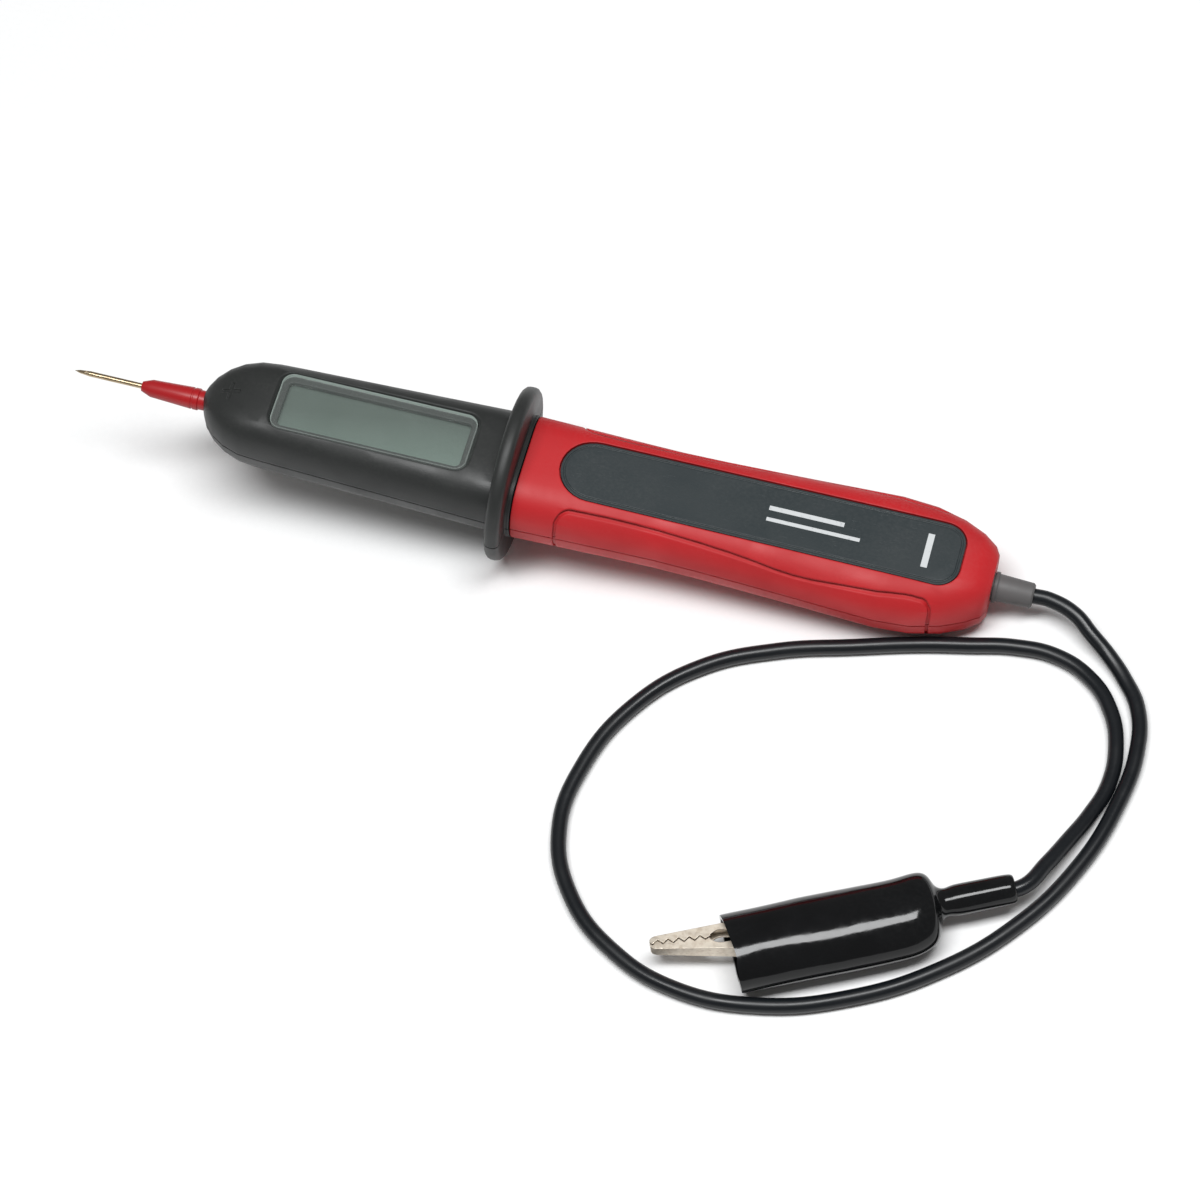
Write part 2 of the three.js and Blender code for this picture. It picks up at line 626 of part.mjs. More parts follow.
function handleShells() {
  const outer = handle(0, 0, HANDLE_FRONT_X, HANDLE_REAR_X, HANDLE_STEPS);
  const cavityEnd = HANDLE_REAR_X - HANDLE_REAR_WALL;
  const cavity = handle(HANDLE_WALL, HANDLE_WALL, HANDLE_FRONT_X - 1, cavityEnd, 6, INNER_SIDES);
  const exit = turned([
    [cavityEnd - 1, 0],
    [cavityEnd - 1, RELIEF_RADIUS + GAP],
    [HANDLE_REAR_X + 1, RELIEF_RADIUS + GAP],
    [HANDLE_REAR_X + 1, 0],
  ]);
  let shell = withBosses(outer.subtract(cavity), outer, HANDLE_SCREWS).subtract(exit);
  shell = shell.subtract(slab(labelShape(GAP), LABEL_FLOOR_Z, FAR, 8));
  const depth = GRIP_GROOVE_DEPTH;
  const core = handle(depth, depth, HANDLE_FRONT_X, HANDLE_REAR_X, HANDLE_STEPS);
  shell = shell.subtract(gripBand().subtract(core));
  return [
    mesh("handle_top", shell.intersect(UPPER), RED_PLASTIC),
    mesh("handle_bottom", shell.intersect(LOWER), RED_PLASTIC),
  ];
}

// ---------- cord exit ----------
function strainRelief() {
  const inner = HANDLE_REAR_X - HANDLE_REAR_WALL - GAP;
  const ring = HANDLE_REAR_X + GAP;
  return mesh(
    "strain_relief",
    turned([
      [inner - 2, CORD_BORE],
      [inner - 2, RELIEF_RADIUS + 0.9],
      [inner, RELIEF_RADIUS + 0.9],
      [inner, RELIEF_RADIUS],
      [ring, RELIEF_RADIUS],
      [ring, RELIEF_RADIUS + 0.35],
      [ring + 0.8, RELIEF_RADIUS + 0.35],
      [ring + 0.8, RELIEF_RADIUS],
      [RELIEF_END_X - 0.4, RELIEF_END_RADIUS],
      [RELIEF_END_X, RELIEF_END_RADIUS - 0.4],
      [RELIEF_END_X, CORD_BORE],
      [inner - 2, CORD_BORE],
    ]),
    GREY_RUBBER,
  );
}

const CORD_START_X = HANDLE_REAR_X - 8;

function groundLead() {
  const rear = CORD_START_X - GAP;
  const points = [
    new THREE.Vector3(rear, 0, 0),
    new THREE.Vector3(rear - 12, 1.6, 0.4),
    new THREE.Vector3(60, -1.6, -1),
    new THREE.Vector3(25, 1.2, -0.4),
    new THREE.Vector3(4, 0, -0.6),
    new THREE.Vector3(BOARD_REAR_X + GAP, 0, -BOARD_THICKNESS / 2),
  ];
  return mesh("ground_lead", tube(points, 0.6, 26), [0x101112, 0.4]);
}

// ---------- the tester, tipped onto its guard and the handle's rear edge ----------
const REST_X = 96; // where the handle's bottom touches the table
const TILT = Math.atan((GUARD_RADIUS - handleFlat(REST_X) * 1.01) / REST_X);
const GUARD_HEIGHT = (GUARD_RADIUS - GUARD_RIM) * Math.cos(TILT) + GUARD_RIM + 0.06;

const tester = new THREE.Group();
tester.position.z = GUARD_HEIGHT;
tester.rotation.y = TILT;
tester.add(probeNeedle(), probeSleeve(), probeSocket(), probeLead());
tester.add(...frontHousing(), displayWindow(), ...displayStack(), circuitBoard(), ...components());
tester.add(...handleShells(), labelPlate(), strainRelief(), groundLead());
HOUSING_SCREWS.forEach((place, i) => tester.add(screw(`housing_screw_${i + 1}`, place)));
HANDLE_SCREWS.forEach((place, i) => tester.add(screw(`handle_screw_${i + 1}`, place)));

// ---------- alligator clip, along its own +X from the tip of the jaws, hinge axis +Z ----------
// One jaw's outline above the bite line; side is 1 for the moving jaw and -1 for the fixed jaw, whose
// teeth stand where the other jaw's gaps are.
function jawOutline(side) {
  const bite = BITE_GAP / 2;
  const teethStart = 0.9;
  const shape = new THREE.Shape();
  shape.moveTo(0.3, bite);
  for (let i = 0; i <= 2 * TOOTH_COUNT; i++) {
    const rises = i % 2 === 0 ? 1 : -1;
    shape.lineTo(teethStart + (i * TOOTH_PITCH) / 2, bite + side * rises * TOOTH_HEIGHT);
  }
  const throat = teethStart + TOOTH_COUNT * TOOTH_PITCH + 0.8;
  shape.lineTo(throat, bite);
  shape.quadraticCurveTo(throat + 1.2, 1.9, throat + 3.4, 1.5);
  shape.lineTo(CLIP_HINGE_X + 4, 0.6);
  shape.lineTo(JAW_END_X, JAW_END_HEIGHT - JAW_HANDLE_DEPTH);
  shape.lineTo(JAW_END_X, JAW_END_HEIGHT);
  shape.lineTo(CLIP_HINGE_X + 5, JAW_ROOT_HEIGHT);
  shape.lineTo(CLIP_HINGE_X - 4, JAW_ROOT_HEIGHT);
  shape.lineTo(1.6, JAW_TIP_HEIGHT);
  shape.quadraticCurveTo(0.2, JAW_TIP_HEIGHT * 0.85, 0.3, bite);
  return shape;
}

// A jaw's outline made solid; seen from above, its width grows from the tip towards the hinge.
function taperedJaw(side, width, inset) {
  const half = width / 2 - inset;
  const tip = Math.min(width, JAW_TIP_WIDTH) / 2 - inset;
  const fullFrom = CLIP_HINGE_X - 4;
  const plan = new THREE.Shape();
  plan.moveTo(0, -tip);
  plan.lineTo(fullFrom, -half);
  plan.lineTo(FAR, -half);
  plan.lineTo(FAR, half);
  plan.lineTo(fullFrom, half);
  plan.lineTo(0, tip);
  const wedge = new THREE.ExtrudeGeometry(plan, { depth: 2 * FAR, bevelEnabled: false });
  const options = { depth: width, bevelEnabled: false, curveSegments: 5 };
  const slab = new THREE.ExtrudeGeometry(jawOutline(side), options).translate(0, -inset, -width / 2);
  return solid(slab).intersect(solid(wedge.translate(0, 0, -FAR).rotateX(Math.PI / 2)));
}

// The sheet is folded into a channel between two stations: two toothed sides joined by a spine.
function channel(side, width, from, to) {
  const whole = taperedJaw(side, width, 0).intersect(box(from, to, -FAR, FAR, -FAR, FAR));
  return whole.subtract(taperedJaw(side, width, JAW_SHEET));
}

// The ears that carry the rivet, on the two sides of a channel.
function hingeEars(width) {
  const half = width / 2;
  const inner = half - JAW_SHEET;
  const ear = rod(CLIP_HINGE_X, 0, 2.6, -half, half);
  const ears = ear.add(box(CLIP_HINGE_X - 2.6, CLIP_HINGE_X + 2.6, 0, 2.4, -half, half));
  return ears.subtract(box(0, FAR, -FAR, FAR, -inner, inner));
}

function rivetHole() {
  return rod(CLIP_HINGE_X, 0, RIVET_RADIUS + GAP, -FAR, FAR);
}

function fixedJaw() {
  const jaw = channel(-1, JAW_WIDTH, 0, JAW_END_X).add(hingeEars(JAW_WIDTH));
  return mesh("clip_fixed_jaw", jaw.subtract(rivetHole()), NICKEL);
}

function movingJaw() {
  const step = CLIP_HINGE_X - 6;
  const front = channel(1, JAW_WIDTH, 0, step);
  const root = channel(1, MOVING_ROOT_WIDTH, step - 1, JAW_END_X);
  const jaw = front.add(root).add(hingeEars(MOVING_ROOT_WIDTH));
  return mesh("clip_moving_jaw", jaw.subtract(rivetHole()).mirror([0, 1, 0]), NICKEL);
}

function rivet() {
  const half = JAW_WIDTH / 2 + GAP;
  const pin = rod(CLIP_HINGE_X, 0, RIVET_RADIUS, -half - 0.7, half + 0.7);
  const heads = rod(CLIP_HINGE_X, 0, 2, half, half + 0.8).add(rod(CLIP_HINGE_X, 0, 2, -half - 0.8, -half));
  return mesh("clip_rivet", pin.add(heads), ZINC);
}

// A torsion spring round the rivet, one leg along the inside of each jaw's handle.
function spring() {
  const [wire, coil, turns, halfStack] = [0.25, 1.9, 1.5, 0.55];
  const leg = new THREE.Vector3(CLIP_HINGE_X + 13, 3.5, 0);
  const points = [leg.clone().setZ(-halfStack)];
  const steps = turns * 8;
  for (let i = 0; i <= steps; i++) {
    const angle = Math.PI / 2 + (2 * Math.PI * i) / 8;
    const z = halfStack * ((2 * i) / steps - 1);
    points.push(new THREE.Vector3(CLIP_HINGE_X + coil * Math.cos(angle), coil * Math.sin(angle), z));
  }
  points.push(new THREE.Vector3(leg.x, -leg.y, halfStack));
  return mesh("clip_spring", tube(points, wire, 48, 6), STEEL);
}

// ---------- boot ----------
const BOOT_AXIS_Z = BOOT_HEIGHT / 2;

function bootSize(x) {
  const shoulder = rise(BOOT_SHOULDER_X + 0.8 - x, 5);
  const swell = 1 - 0.03 * rise(BOOT_MOUTH_X + 12 - x, 12);
  return shoulder * swell;
}

function bootBarrel(wall, from, to, steps, end = 0) {
  const sized = (x) => Math.max(bootSize(x + end), 0.2);
  return loft({
    from,
    to,
    steps,
    power: 2.2,
    sides: 24,
    width: (x) => (BOOT_WIDTH / 2) * sized(x) - wall,
    depth: (x) => (BOOT_HEIGHT / 2) * sized(x) - wall,
    flat: () => FAR,
  });
}

function boot() {
  const neck = BOOT_SHOULDER_X + 2.4;
  const tail = turned([
    [BOOT_SHOULDER_X - 4, 0],
    [BOOT_SHOULDER_X - 4, BOOT_TAIL_RADIUS + 0.4],
    [BOOT_SHOULDER_X + 0.6, BOOT_TAIL_RADIUS + 0.4],
    [neck, BOOT_TAIL_RADIUS - 0.5],
    [neck + 1.4, BOOT_TAIL_RADIUS],
    [CLIP_LENGTH - 1, BOOT_TAIL_RADIUS - 0.3],
    [CLIP_LENGTH, BOOT_TAIL_RADIUS - 0.9],
    [CLIP_LENGTH, 0],
  ]);
  const bore = turned([
    [JAW_END_X, 0],
    [JAW_END_X, CORD_BORE],
    [CLIP_LENGTH + 1, CORD_BORE],
    [CLIP_LENGTH + 1, 0],
  ]);
  const barrel = bootBarrel(0, BOOT_MOUTH_X, BOOT_SHOULDER_X, 10);
  const inside = bootBarrel(BOOT_WALL, BOOT_MOUTH_X - 1, BOOT_SHOULDER_X - 4, 6, BOOT_SHOULDER_WALL);
  const offset = [0, BOOT_TAIL_OFFSET, 0];
  const sleeve = barrel.add(tail.translate(offset)).subtract(inside).subtract(bore.translate(offset));
  return mesh("clip_boot", sleeve, BLACK_PVC);
}

const CRIMP_END_X = BOOT_SHOULDER_X - 2 * FERRULE_RADIUS; // where the boot's inside still clears it

// The cord's end ferrule, soldered in the fixed jaw's handle.
function crimp() {
  const start = JAW_END_X + JAW_END_CLEARANCE;
  const ferrule = turned([
    [start, CORD_BORE],
    [start, FERRULE_RADIUS],
    [CRIMP_END_X, FERRULE_RADIUS],
    [CRIMP_END_X, CORD_BORE],
    [start, CORD_BORE],
  ]);
  return mesh("cord_ferrule", ferrule.translate([0, BOOT_TAIL_OFFSET, 0]), BRASS);
}

const clip = new THREE.Group();
clip.position.set(CLIP_PLACE.x, CLIP_PLACE.y, BOOT_AXIS_Z);
clip.rotation.z = CLIP_TURN;
clip.add(fixedJaw(), movingJaw(), rivet(), spring());

// The boot's line crosses the jaws' line where the jaws' handles end.
const sleeved = new THREE.Group();
sleeved.position.set(JAW_END_X, 0, 0);
sleeved.rotation.z = BOOT_SKEW;
for (const piece of [boot(), crimp()]) {
  piece.position.x = -JAW_END_X;
  sleeved.add(piece);
}
clip.add(sleeved);

// ---------- grounding cord, laid on the table ----------
function onTester(x) {
  return new THREE.Vector3(x * Math.cos(TILT), 0, GUARD_HEIGHT - x * Math.sin(TILT));
}

// A point on the line of the boot's tail.
function onBoot(x) {
  const turn = CLIP_TURN + BOOT_SKEW;
  const place = new THREE.Vector2(x - JAW_END_X, BOOT_TAIL_OFFSET).rotateAround(new THREE.Vector2(), turn);
  place.add(CLIP_PLACE);
  place.x += JAW_END_X * Math.cos(CLIP_TURN);
  place.y += JAW_END_X * Math.sin(CLIP_TURN);
  return new THREE.Vector3(place.x, place.y, BOOT_AXIS_Z);
}

const LIE = CORD_RADIUS + 0.1; // the height of the cord's centre on the table
const CORD_ROUTE = [
  [124.2, -1.9, 6.1],
  [128.5, -5.1, 4.5],
  [132.9, -8.4, 2.8],
  [137.2, -12.8, LIE],
  [141.4, -19.2, LIE],
  [143.4, -29, LIE],
  [142, -43, LIE],
  [136.8, -59.4, LIE],
  [127.4, -75, LIE],
  [114, -88.4, LIE],
  [97.6, -98.4, LIE],
  [79.4, -104.2, LIE],
  [61.6, -104.2, LIE],
  [46.8, -98.4, LIE],
  [35.2, -88.2, LIE],
  [28.6, -73.6, LIE],
  [29.4, -57.8, LIE],
  [36.4, -41.2, LIE],
  [48.2, -28.9, LIE],
  [63.4, -21.5, LIE],
  [79.4, -17.1, LIE],
  [93, -13.6, LIE],
  [103, -11.7, LIE],
  [113, -10, LIE],
  [122, -10.4, LIE],
  [130, -14.2, LIE],
  [135.8, -20.8, LIE],
  [138.9, -29.4, LIE],
  [139.2, -38.6, LIE],
  [137, -46.6, 2.5],
  [133.9, -54.7, 4.3],
  [131, -61.8, 6.1],
];

function cord() {
  const points = [onTester(CORD_START_X), onTester(RELIEF_END_X), onTester(RELIEF_END_X + 3.5)];
  points.push(...CORD_ROUTE.map((point) => new THREE.Vector3(...point)));
  points.push(onBoot(CLIP_LENGTH + 1.5), onBoot(CLIP_LENGTH - 5), onBoot(JAW_END_X + JAW_END_CLEARANCE + 1));
  return mesh("cord", tube(points, CORD_RADIUS, 64), BLACK_PVC);
}

// ---------- the whole, its origin under the middle of its box ----------
const ORIGIN = new THREE.Vector2(7.8, 0);

const part = new THREE.Group();
part.position.set(-ORIGIN.x, -ORIGIN.y, 0);
part.add(tester, clip, cord());

export default part;
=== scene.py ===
"""A digital voltage tester for car wiring, lying on a table with its ground cord and booted clip.

The tester's own line runs along +X from the needle to the cord. Sizes are in metres,
apart from the few lists and values that say millimetres.
"""

import math

import bpy
from bpy.props import FloatProperty, FloatVectorProperty, PointerProperty
from mathutils import Euler, Matrix, Vector


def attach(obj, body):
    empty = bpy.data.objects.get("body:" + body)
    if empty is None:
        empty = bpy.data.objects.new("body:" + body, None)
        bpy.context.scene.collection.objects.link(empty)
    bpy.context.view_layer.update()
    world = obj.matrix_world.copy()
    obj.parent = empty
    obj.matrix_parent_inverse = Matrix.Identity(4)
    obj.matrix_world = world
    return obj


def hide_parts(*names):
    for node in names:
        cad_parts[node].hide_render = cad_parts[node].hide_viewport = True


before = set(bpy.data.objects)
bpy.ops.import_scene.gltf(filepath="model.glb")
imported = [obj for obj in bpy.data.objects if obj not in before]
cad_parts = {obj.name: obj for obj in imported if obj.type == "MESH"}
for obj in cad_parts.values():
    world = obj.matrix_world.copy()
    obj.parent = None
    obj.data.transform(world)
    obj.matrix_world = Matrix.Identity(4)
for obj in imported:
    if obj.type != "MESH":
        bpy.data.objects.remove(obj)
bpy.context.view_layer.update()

bl_info = {
    "name": "Voltage tester",
    "version": (1, 0, 0),
    "blender": (4, 5, 0),
    "location": "View3D > Sidebar > Tester",
    "description": "Builds a needle-probe voltage tester with its ground cord and clip",
    "category": "Object",
}

# ---------- the tester's and the clip's places on the table ----------
TILT = math.radians(5.9516)  # the tester rests on its guard and the rear of its handle
GUARD_CENTRE = Vector((-0.0078, 0, 0.019263))
CORD_RADIUS = 0.0017
CORD_START = 0.0985  # the cord's end inside the strain relief
CORD_LIE = 1.8  # millimetres from the table to the centre of the cord that lies on it
ROUTE_SHIFT = 7.8  # millimetres from the guard's centre, where the route's x is zero, to the origin
RELIEF_END = 0.1155
CLIP_TIP = Vector((0.0474, -0.0983, 0.007))
CLIP_TURN = 0.315
BOOT_TURN = CLIP_TURN + 0.125  # the loose boot lies turned from the jaws' line
BOOT_TAIL_OFFSET = 0.0018  # the tail's line lies beside the barrel's
JAW_END = 0.044
CORD_END = 0.0466  # the cord's end inside the boot, behind the tip of the jaws
CLIP_LENGTH = 0.077
LABEL_LENGTH_LIMIT = 0.095  # a rim that has run out of its outline makes the plate longer than this
PRINTED_BARS = (  # x, y, half length, half width of each bar on the label
    (0.0575, 0.0014, 0.0082, 0.00055),
    (0.0595, -0.0014, 0.0102, 0.00045),
    (0.0842, 0.0, 0.0007, 0.0042),
)


def on_tester(x, y=0.0, z=0.0):
    """A point given along the tester, with the guard's centre at zero."""
    return GUARD_CENTRE + Euler((0, TILT, 0)).to_matrix() @ Vector((x, y, z))


def jaws_end():
    return CLIP_TIP + Vector((math.cos(CLIP_TURN), math.sin(CLIP_TURN), 0)) * JAW_END


def on_boot(x):
    """A point on the line of the boot's tail, x behind the tip of the jaws."""
    along = Vector((math.cos(BOOT_TURN), math.sin(BOOT_TURN), 0))
    across = Vector((-along.y, along.x, 0))
    return jaws_end() + along * (x - JAW_END) + across * BOOT_TAIL_OFFSET


# ---------- sizes and colours that a user would change ----------
def colour_property(name, description, default):
    return FloatVectorProperty(
        name=name, description=description, default=default, subtype="COLOR", min=0, max=1
    )


class TesterSizes(bpy.types.PropertyGroup):
    boot_half_width: FloatProperty(
        name="Boot half width",
        description="Half of the clip boot's width where it is fullest",
        default=0.0091,
        unit="LENGTH",
    )
    boot_half_height: FloatProperty(
        name="Boot half height",
        description="Half of the clip boot's height where it is fullest",
        default=0.00695,
        unit="LENGTH",
    )
    boot_wall: FloatProperty(
        name="Boot wall",
        description="Thickness of the boot's dipped wall",
        default=0.0009,
        unit="LENGTH",
    )
    boot_ripple: FloatProperty(
        name="Boot ripple",
        description="How far the soft wall sinks between its high places",
        default=0.0003,
        unit="LENGTH",
    )
    label_rim: FloatProperty(
        name="Label rim", description="Width of the rim round the label", default=0.0005, unit="LENGTH"
    )
    label_groove: FloatProperty(
        name="Label groove", description="Depth of the groove inside the rim", default=0.0002, unit="LENGTH"
    )
    floor_width: FloatProperty(
        name="Floor width", description="Side of the studio floor", default=6.0, unit="LENGTH"
    )


class TesterColours(bpy.types.PropertyGroup):
    red: colour_property("Red", "Handle and probe sleeve", (0.47, 0.012, 0.016))
    black: colour_property("Black", "Display housing and guard", (0.02, 0.0215, 0.021))
    label: colour_property("Label", "Plate on the handle", (0.026, 0.034, 0.037))
    relief: colour_property("Strain relief", "Cord sleeve at the handle", (0.11, 0.106, 0.106))
    cord: colour_property("Cord", "Cord jacket", (0.006, 0.0075, 0.0095))
    boot: colour_property("Boot", "Clip boot", (0.004, 0.0043, 0.0048))
    screen: colour_property("Screen", "Blank display", (0.13, 0.18, 0.155))
    nickel: colour_property("Nickel", "Clip jaws", (0.8, 0.72, 0.61))


def sizes():
    return bpy.context.scene.tester_sizes


def colours():
    return bpy.context.scene.tester_colours


# ---------- modelling helpers ----------
def start_clean():
    """Leaves edit mode and clears the selection, so that an operator acts on the new piece alone."""
    if bpy.context.object and bpy.context.object.mode != "OBJECT":
        bpy.ops.object.mode_set(mode="OBJECT")
    bpy.ops.object.select_all(action="DESELECT")


def drawn_tube(name, stations, sides):
    """A tube along +X, extruded from ring to ring; a station is (x, half width, half height)."""
    start_clean()
    x, wide, high = stations[0]
    bpy.ops.mesh.primitive_circle_add(
        vertices=sides, radius=1, fill_type="NOTHING", location=(x, 0, 0), rotation=(0, math.pi / 2, 0)
    )
    tube = bpy.context.object
    tube.name = tube.data.name = name
    bpy.ops.object.transform_apply(location=True, rotation=True, scale=True)
    bpy.ops.object.mode_set(mode="EDIT")
    bpy.ops.mesh.select_all(action="SELECT")
    bpy.ops.transform.resize(value=(1, wide, high))
    for next_x, next_wide, next_high in stations[1:]:
        bpy.ops.mesh.extrude_region_move(TRANSFORM_OT_translate={"value": (next_x - x, 0, 0)})
        bpy.ops.transform.resize(value=(1, next_wide / wide, next_high / high))
        x, wide, high = next_x, next_wide, next_high
    bpy.ops.mesh.select_all(action="SELECT")
    bpy.ops.mesh.normals_make_consistent(inside=False)
    bpy.ops.object.mode_set(mode="OBJECT")
    return tube


def place(piece, where, turn):
    """Lays a piece that was modelled along +X in its place, and leaves its object at the origin."""
    start_clean()
    piece.select_set(True)
    bpy.context.view_layer.objects.active = piece
    piece.rotation_euler = turn
    piece.location = where
    bpy.ops.object.transform_apply(location=True, rotation=True, scale=True)


def finish_modifier(piece, name):
    bpy.context.view_layer.objects.active = piece
    bpy.ops.object.modifier_apply(modifier=name)


# ---------- node helpers ----------
def add(tree, kind, inputs=None, **settings):
    """A node with its settings; an input is a value, or another node's output to link."""
    node = tree.nodes.new(kind)
    for key, value in settings.items():
        setattr(node, key, value)
    for key, value in (inputs or {}).items():
        if isinstance(value, bpy.types.NodeSocket):
            tree.links.new(value, node.inputs[key])
        else:
            node.inputs[key].default_value = value
    return node


def maths(tree, operation, a, b=0.0, clamp=False):
    return add(tree, "ShaderNodeMath", {0: a, 1: b}, operation=operation, use_clamp=clamp).outputs[0]


def between(tree, value, low, high, out_low=0.0, out_high=1.0):
    """Spreads a value from low..high to out_low..out_high, and holds it there outside."""
    inputs = {"Value": value, "From Min": low, "From Max": high, "To Min": out_low, "To Max": out_high}
    return add(tree, "ShaderNodeMapRange", inputs).outputs["Result"]


def blended(tree, factor, first, second):
    node = add(tree, "ShaderNodeMix", data_type="RGBA")
    for socket, value in ((node.inputs[0], factor), (node.inputs[6], first), (node.inputs[7], second)):
        if isinstance(value, bpy.types.NodeSocket):
            tree.links.new(value, socket)
        else:
            socket.default_value = value
    return node.outputs[2]


def start_group(name, inputs, outputs):
    """An empty shader node group with float inputs; outputs map a name to its socket type."""
    tree = bpy.data.node_groups.new(name, "ShaderNodeTree")
    for label, value in inputs.items():
        socket = tree.interface.new_socket(name=label, in_out="INPUT", socket_type="NodeSocketFloat")
        socket.default_value = value
    for label, kind in outputs.items():
        tree.interface.new_socket(name=label, in_out="OUTPUT", socket_type=kind)
    return tree, tree.nodes.new("NodeGroupInput").outputs, tree.nodes.new("NodeGroupOutput")


FLOAT = "NodeSocketFloat"
VECTOR = "NodeSocketVector"


def make_grain_group():
    """The fine spark-eroded skin of a moulded part, as a height."""
    tree, given, made = start_group("Moulded grain", {"Scale": 3000.0}, {"Height": FLOAT})
    spot = add(tree, "ShaderNodeTexCoord").outputs["Object"]
    pebbles = add(tree, "ShaderNodeTexVoronoi", {"Vector": spot, "Scale": given["Scale"]})
    fuzz = add(tree, "ShaderNodeTexNoise", {"Vector": spot, "Scale": given["Scale"], "Detail": 2.0})
    height = maths(tree, "ADD", maths(tree, "MULTIPLY", pebbles.outputs["Distance"], 0.6), fuzz.outputs[0])
    tree.links.new(height, made.inputs["Height"])


def make_edges_group():
    """Rounds every sharp edge by the radius, and gives a mask of the edges."""
    tree, given, made = start_group(
        "Rounded edges", {"Radius": 0.0003}, {"Normal": VECTOR, "Edge": FLOAT}
    )
    bevel = add(tree, "ShaderNodeBevel", {"Radius": given["Radius"]}, samples=6).outputs["Normal"]
    facing = add(tree, "ShaderNodeNewGeometry").outputs["Normal"]
    along = add(tree, "ShaderNodeVectorMath", {0: bevel, 1: facing}, operation="DOT_PRODUCT")
    away = maths(tree, "SUBTRACT", 1.0, along.outputs["Value"])
    tree.links.new(bevel, made.inputs["Normal"])
    tree.links.new(between(tree, away, 0.02, 0.3), made.inputs["Edge"])


def make_handling_group():
    """Where a surface has been marked: greasy smudges, rubbed patches and hairline scratches."""
    tree, given, made = start_group(
        "Handling marks", {"Scale": 60.0}, {"Smudge": FLOAT, "Rub": FLOAT, "Scratch": FLOAT}
    )
    spot = add(tree, "ShaderNodeTexCoord").outputs["Object"]
    clouds = {"Vector": spot, "Scale": given["Scale"], "Detail": 4.0, "Distortion": 0.6}
    broad = add(tree, "ShaderNodeTexNoise", clouds).outputs[0]
    finer = maths(tree, "MULTIPLY", given["Scale"], 6.0)
    patch = add(tree, "ShaderNodeTexNoise", {"Vector": spot, "Scale": finer, "Detail": 3.0}).outputs[0]
    slanting = {"Vector": spot, "Rotation": (0.2, 0.1, 0.5), "Scale": (1, 14, 9)}
    turned = add(tree, "ShaderNodeMapping", slanting).outputs[0]
    fine = maths(tree, "MULTIPLY", given["Scale"], 4.0)
    hair = add(tree, "ShaderNodeTexNoise", {"Vector": turned, "Scale": fine, "Detail": 2.0}).outputs[0]
    tree.links.new(between(tree, broad, 0.35, 0.65), made.inputs["Smudge"])
    tree.links.new(between(tree, patch, 0.45, 0.65), made.inputs["Rub"])
    tree.links.new(between(tree, hair, 0.66, 0.72), made.inputs["Scratch"])


def make_dust_group():
    """Fine dust that settles on what faces up."""
    tree, given, made = start_group("Settled dust", {"Amount": 0.2}, {"Mask": FLOAT})
    spot = add(tree, "ShaderNodeTexCoord").outputs["Object"]
    specks = add(tree, "ShaderNodeTexNoise", {"Vector": spot, "Scale": 1400.0, "Detail": 3.0}).outputs[0]
    clouds = add(tree, "ShaderNodeTexNoise", {"Vector": spot, "Scale": 45.0, "Detail": 2.0}).outputs[0]
    upward = add(
        tree, "ShaderNodeSeparateXYZ", {0: add(tree, "ShaderNodeNewGeometry").outputs["Normal"]}
    ).outputs["Z"]
    film = maths(tree, "MULTIPLY", between(tree, upward, 0.2, 0.9), between(tree, clouds, 0.35, 0.7))
    mask = maths(tree, "MULTIPLY", film, between(tree, specks, 0.4, 0.75))
    tree.links.new(maths(tree, "MULTIPLY", mask, given["Amount"], clamp=True), made.inputs["Mask"])


def use_group(tree, name, **values):
    node = tree.nodes.new("ShaderNodeGroup")
    node.node_tree = bpy.data.node_groups[name]
    for key, value in values.items():
        node.inputs[key].default_value = value
    return node.outputs


def start_material(name, roughness, **sockets):
    material = bpy.data.materials.new(name)
    material.use_nodes = True
    shader = material.node_tree.nodes["Principled BSDF"]
    shader.inputs["Roughness"].default_value = roughness
    for key, value in sockets.items():
        shader.inputs[key.replace("_", " ")].default_value = value
    return material, material.node_tree, shader.inputs


def scaled(colour, factor):
    return (*(min(1.0, part * factor) for part in colour), 1.0)


def moulded(name, colour, roughness, grain=3000, depth=0.00001, edge=0.0003, dust=0.03, edge_wear_and_highlight=0.25):
    """Moulded plastic or rubber: mottled colour, fine grain, edges painted paler as rubbed wear and as a
    painted highlight, smudges and dust.
    """
    material, tree, shader = start_material(name, roughness, Specular_IOR_Level=0.4)
    edges = use_group(tree, "Rounded edges", Radius=edge)
    marks = use_group(tree, "Handling marks", Scale=70.0)
    film = use_group(tree, "Settled dust", Amount=dust)
    skin = use_group(tree, "Moulded grain", Scale=grain)
    mottled = blended(tree, marks["Smudge"], scaled(colour, 0.95), scaled(colour, 1.05))
    # edges painted paler in patches: partly rubbed wear, partly a painted highlight along the edges
    rubbed_and_highlit_edges = maths(tree, "MULTIPLY", maths(tree, "MULTIPLY", edges["Edge"], marks["Rub"]), edge_wear_and_highlight)
    worn = blended(tree, rubbed_and_highlit_edges, mottled, scaled([0.04 + part for part in colour], 1.5))
    dusty = blended(tree, film["Mask"], worn, (0.45, 0.43, 0.4, 1))
    tree.links.new(dusty, shader["Base Color"])
    glossy, matt = max(0.03, roughness - 0.07), min(1.0, roughness + 0.07)
    shine = between(tree, marks["Smudge"], 0.0, 1.0, matt, glossy)
    tree.links.new(maths(tree, "ADD", shine, film["Mask"], clamp=True), shader["Roughness"])
    relief = maths(tree, "SUBTRACT", skin["Height"], maths(tree, "MULTIPLY", marks["Scratch"], 0.5))
    bump = add(tree, "ShaderNodeBump", {"Height": relief, "Normal": edges["Normal"], "Distance": depth})
    tree.links.new(bump.outputs[0], shader["Normal"])
    return material


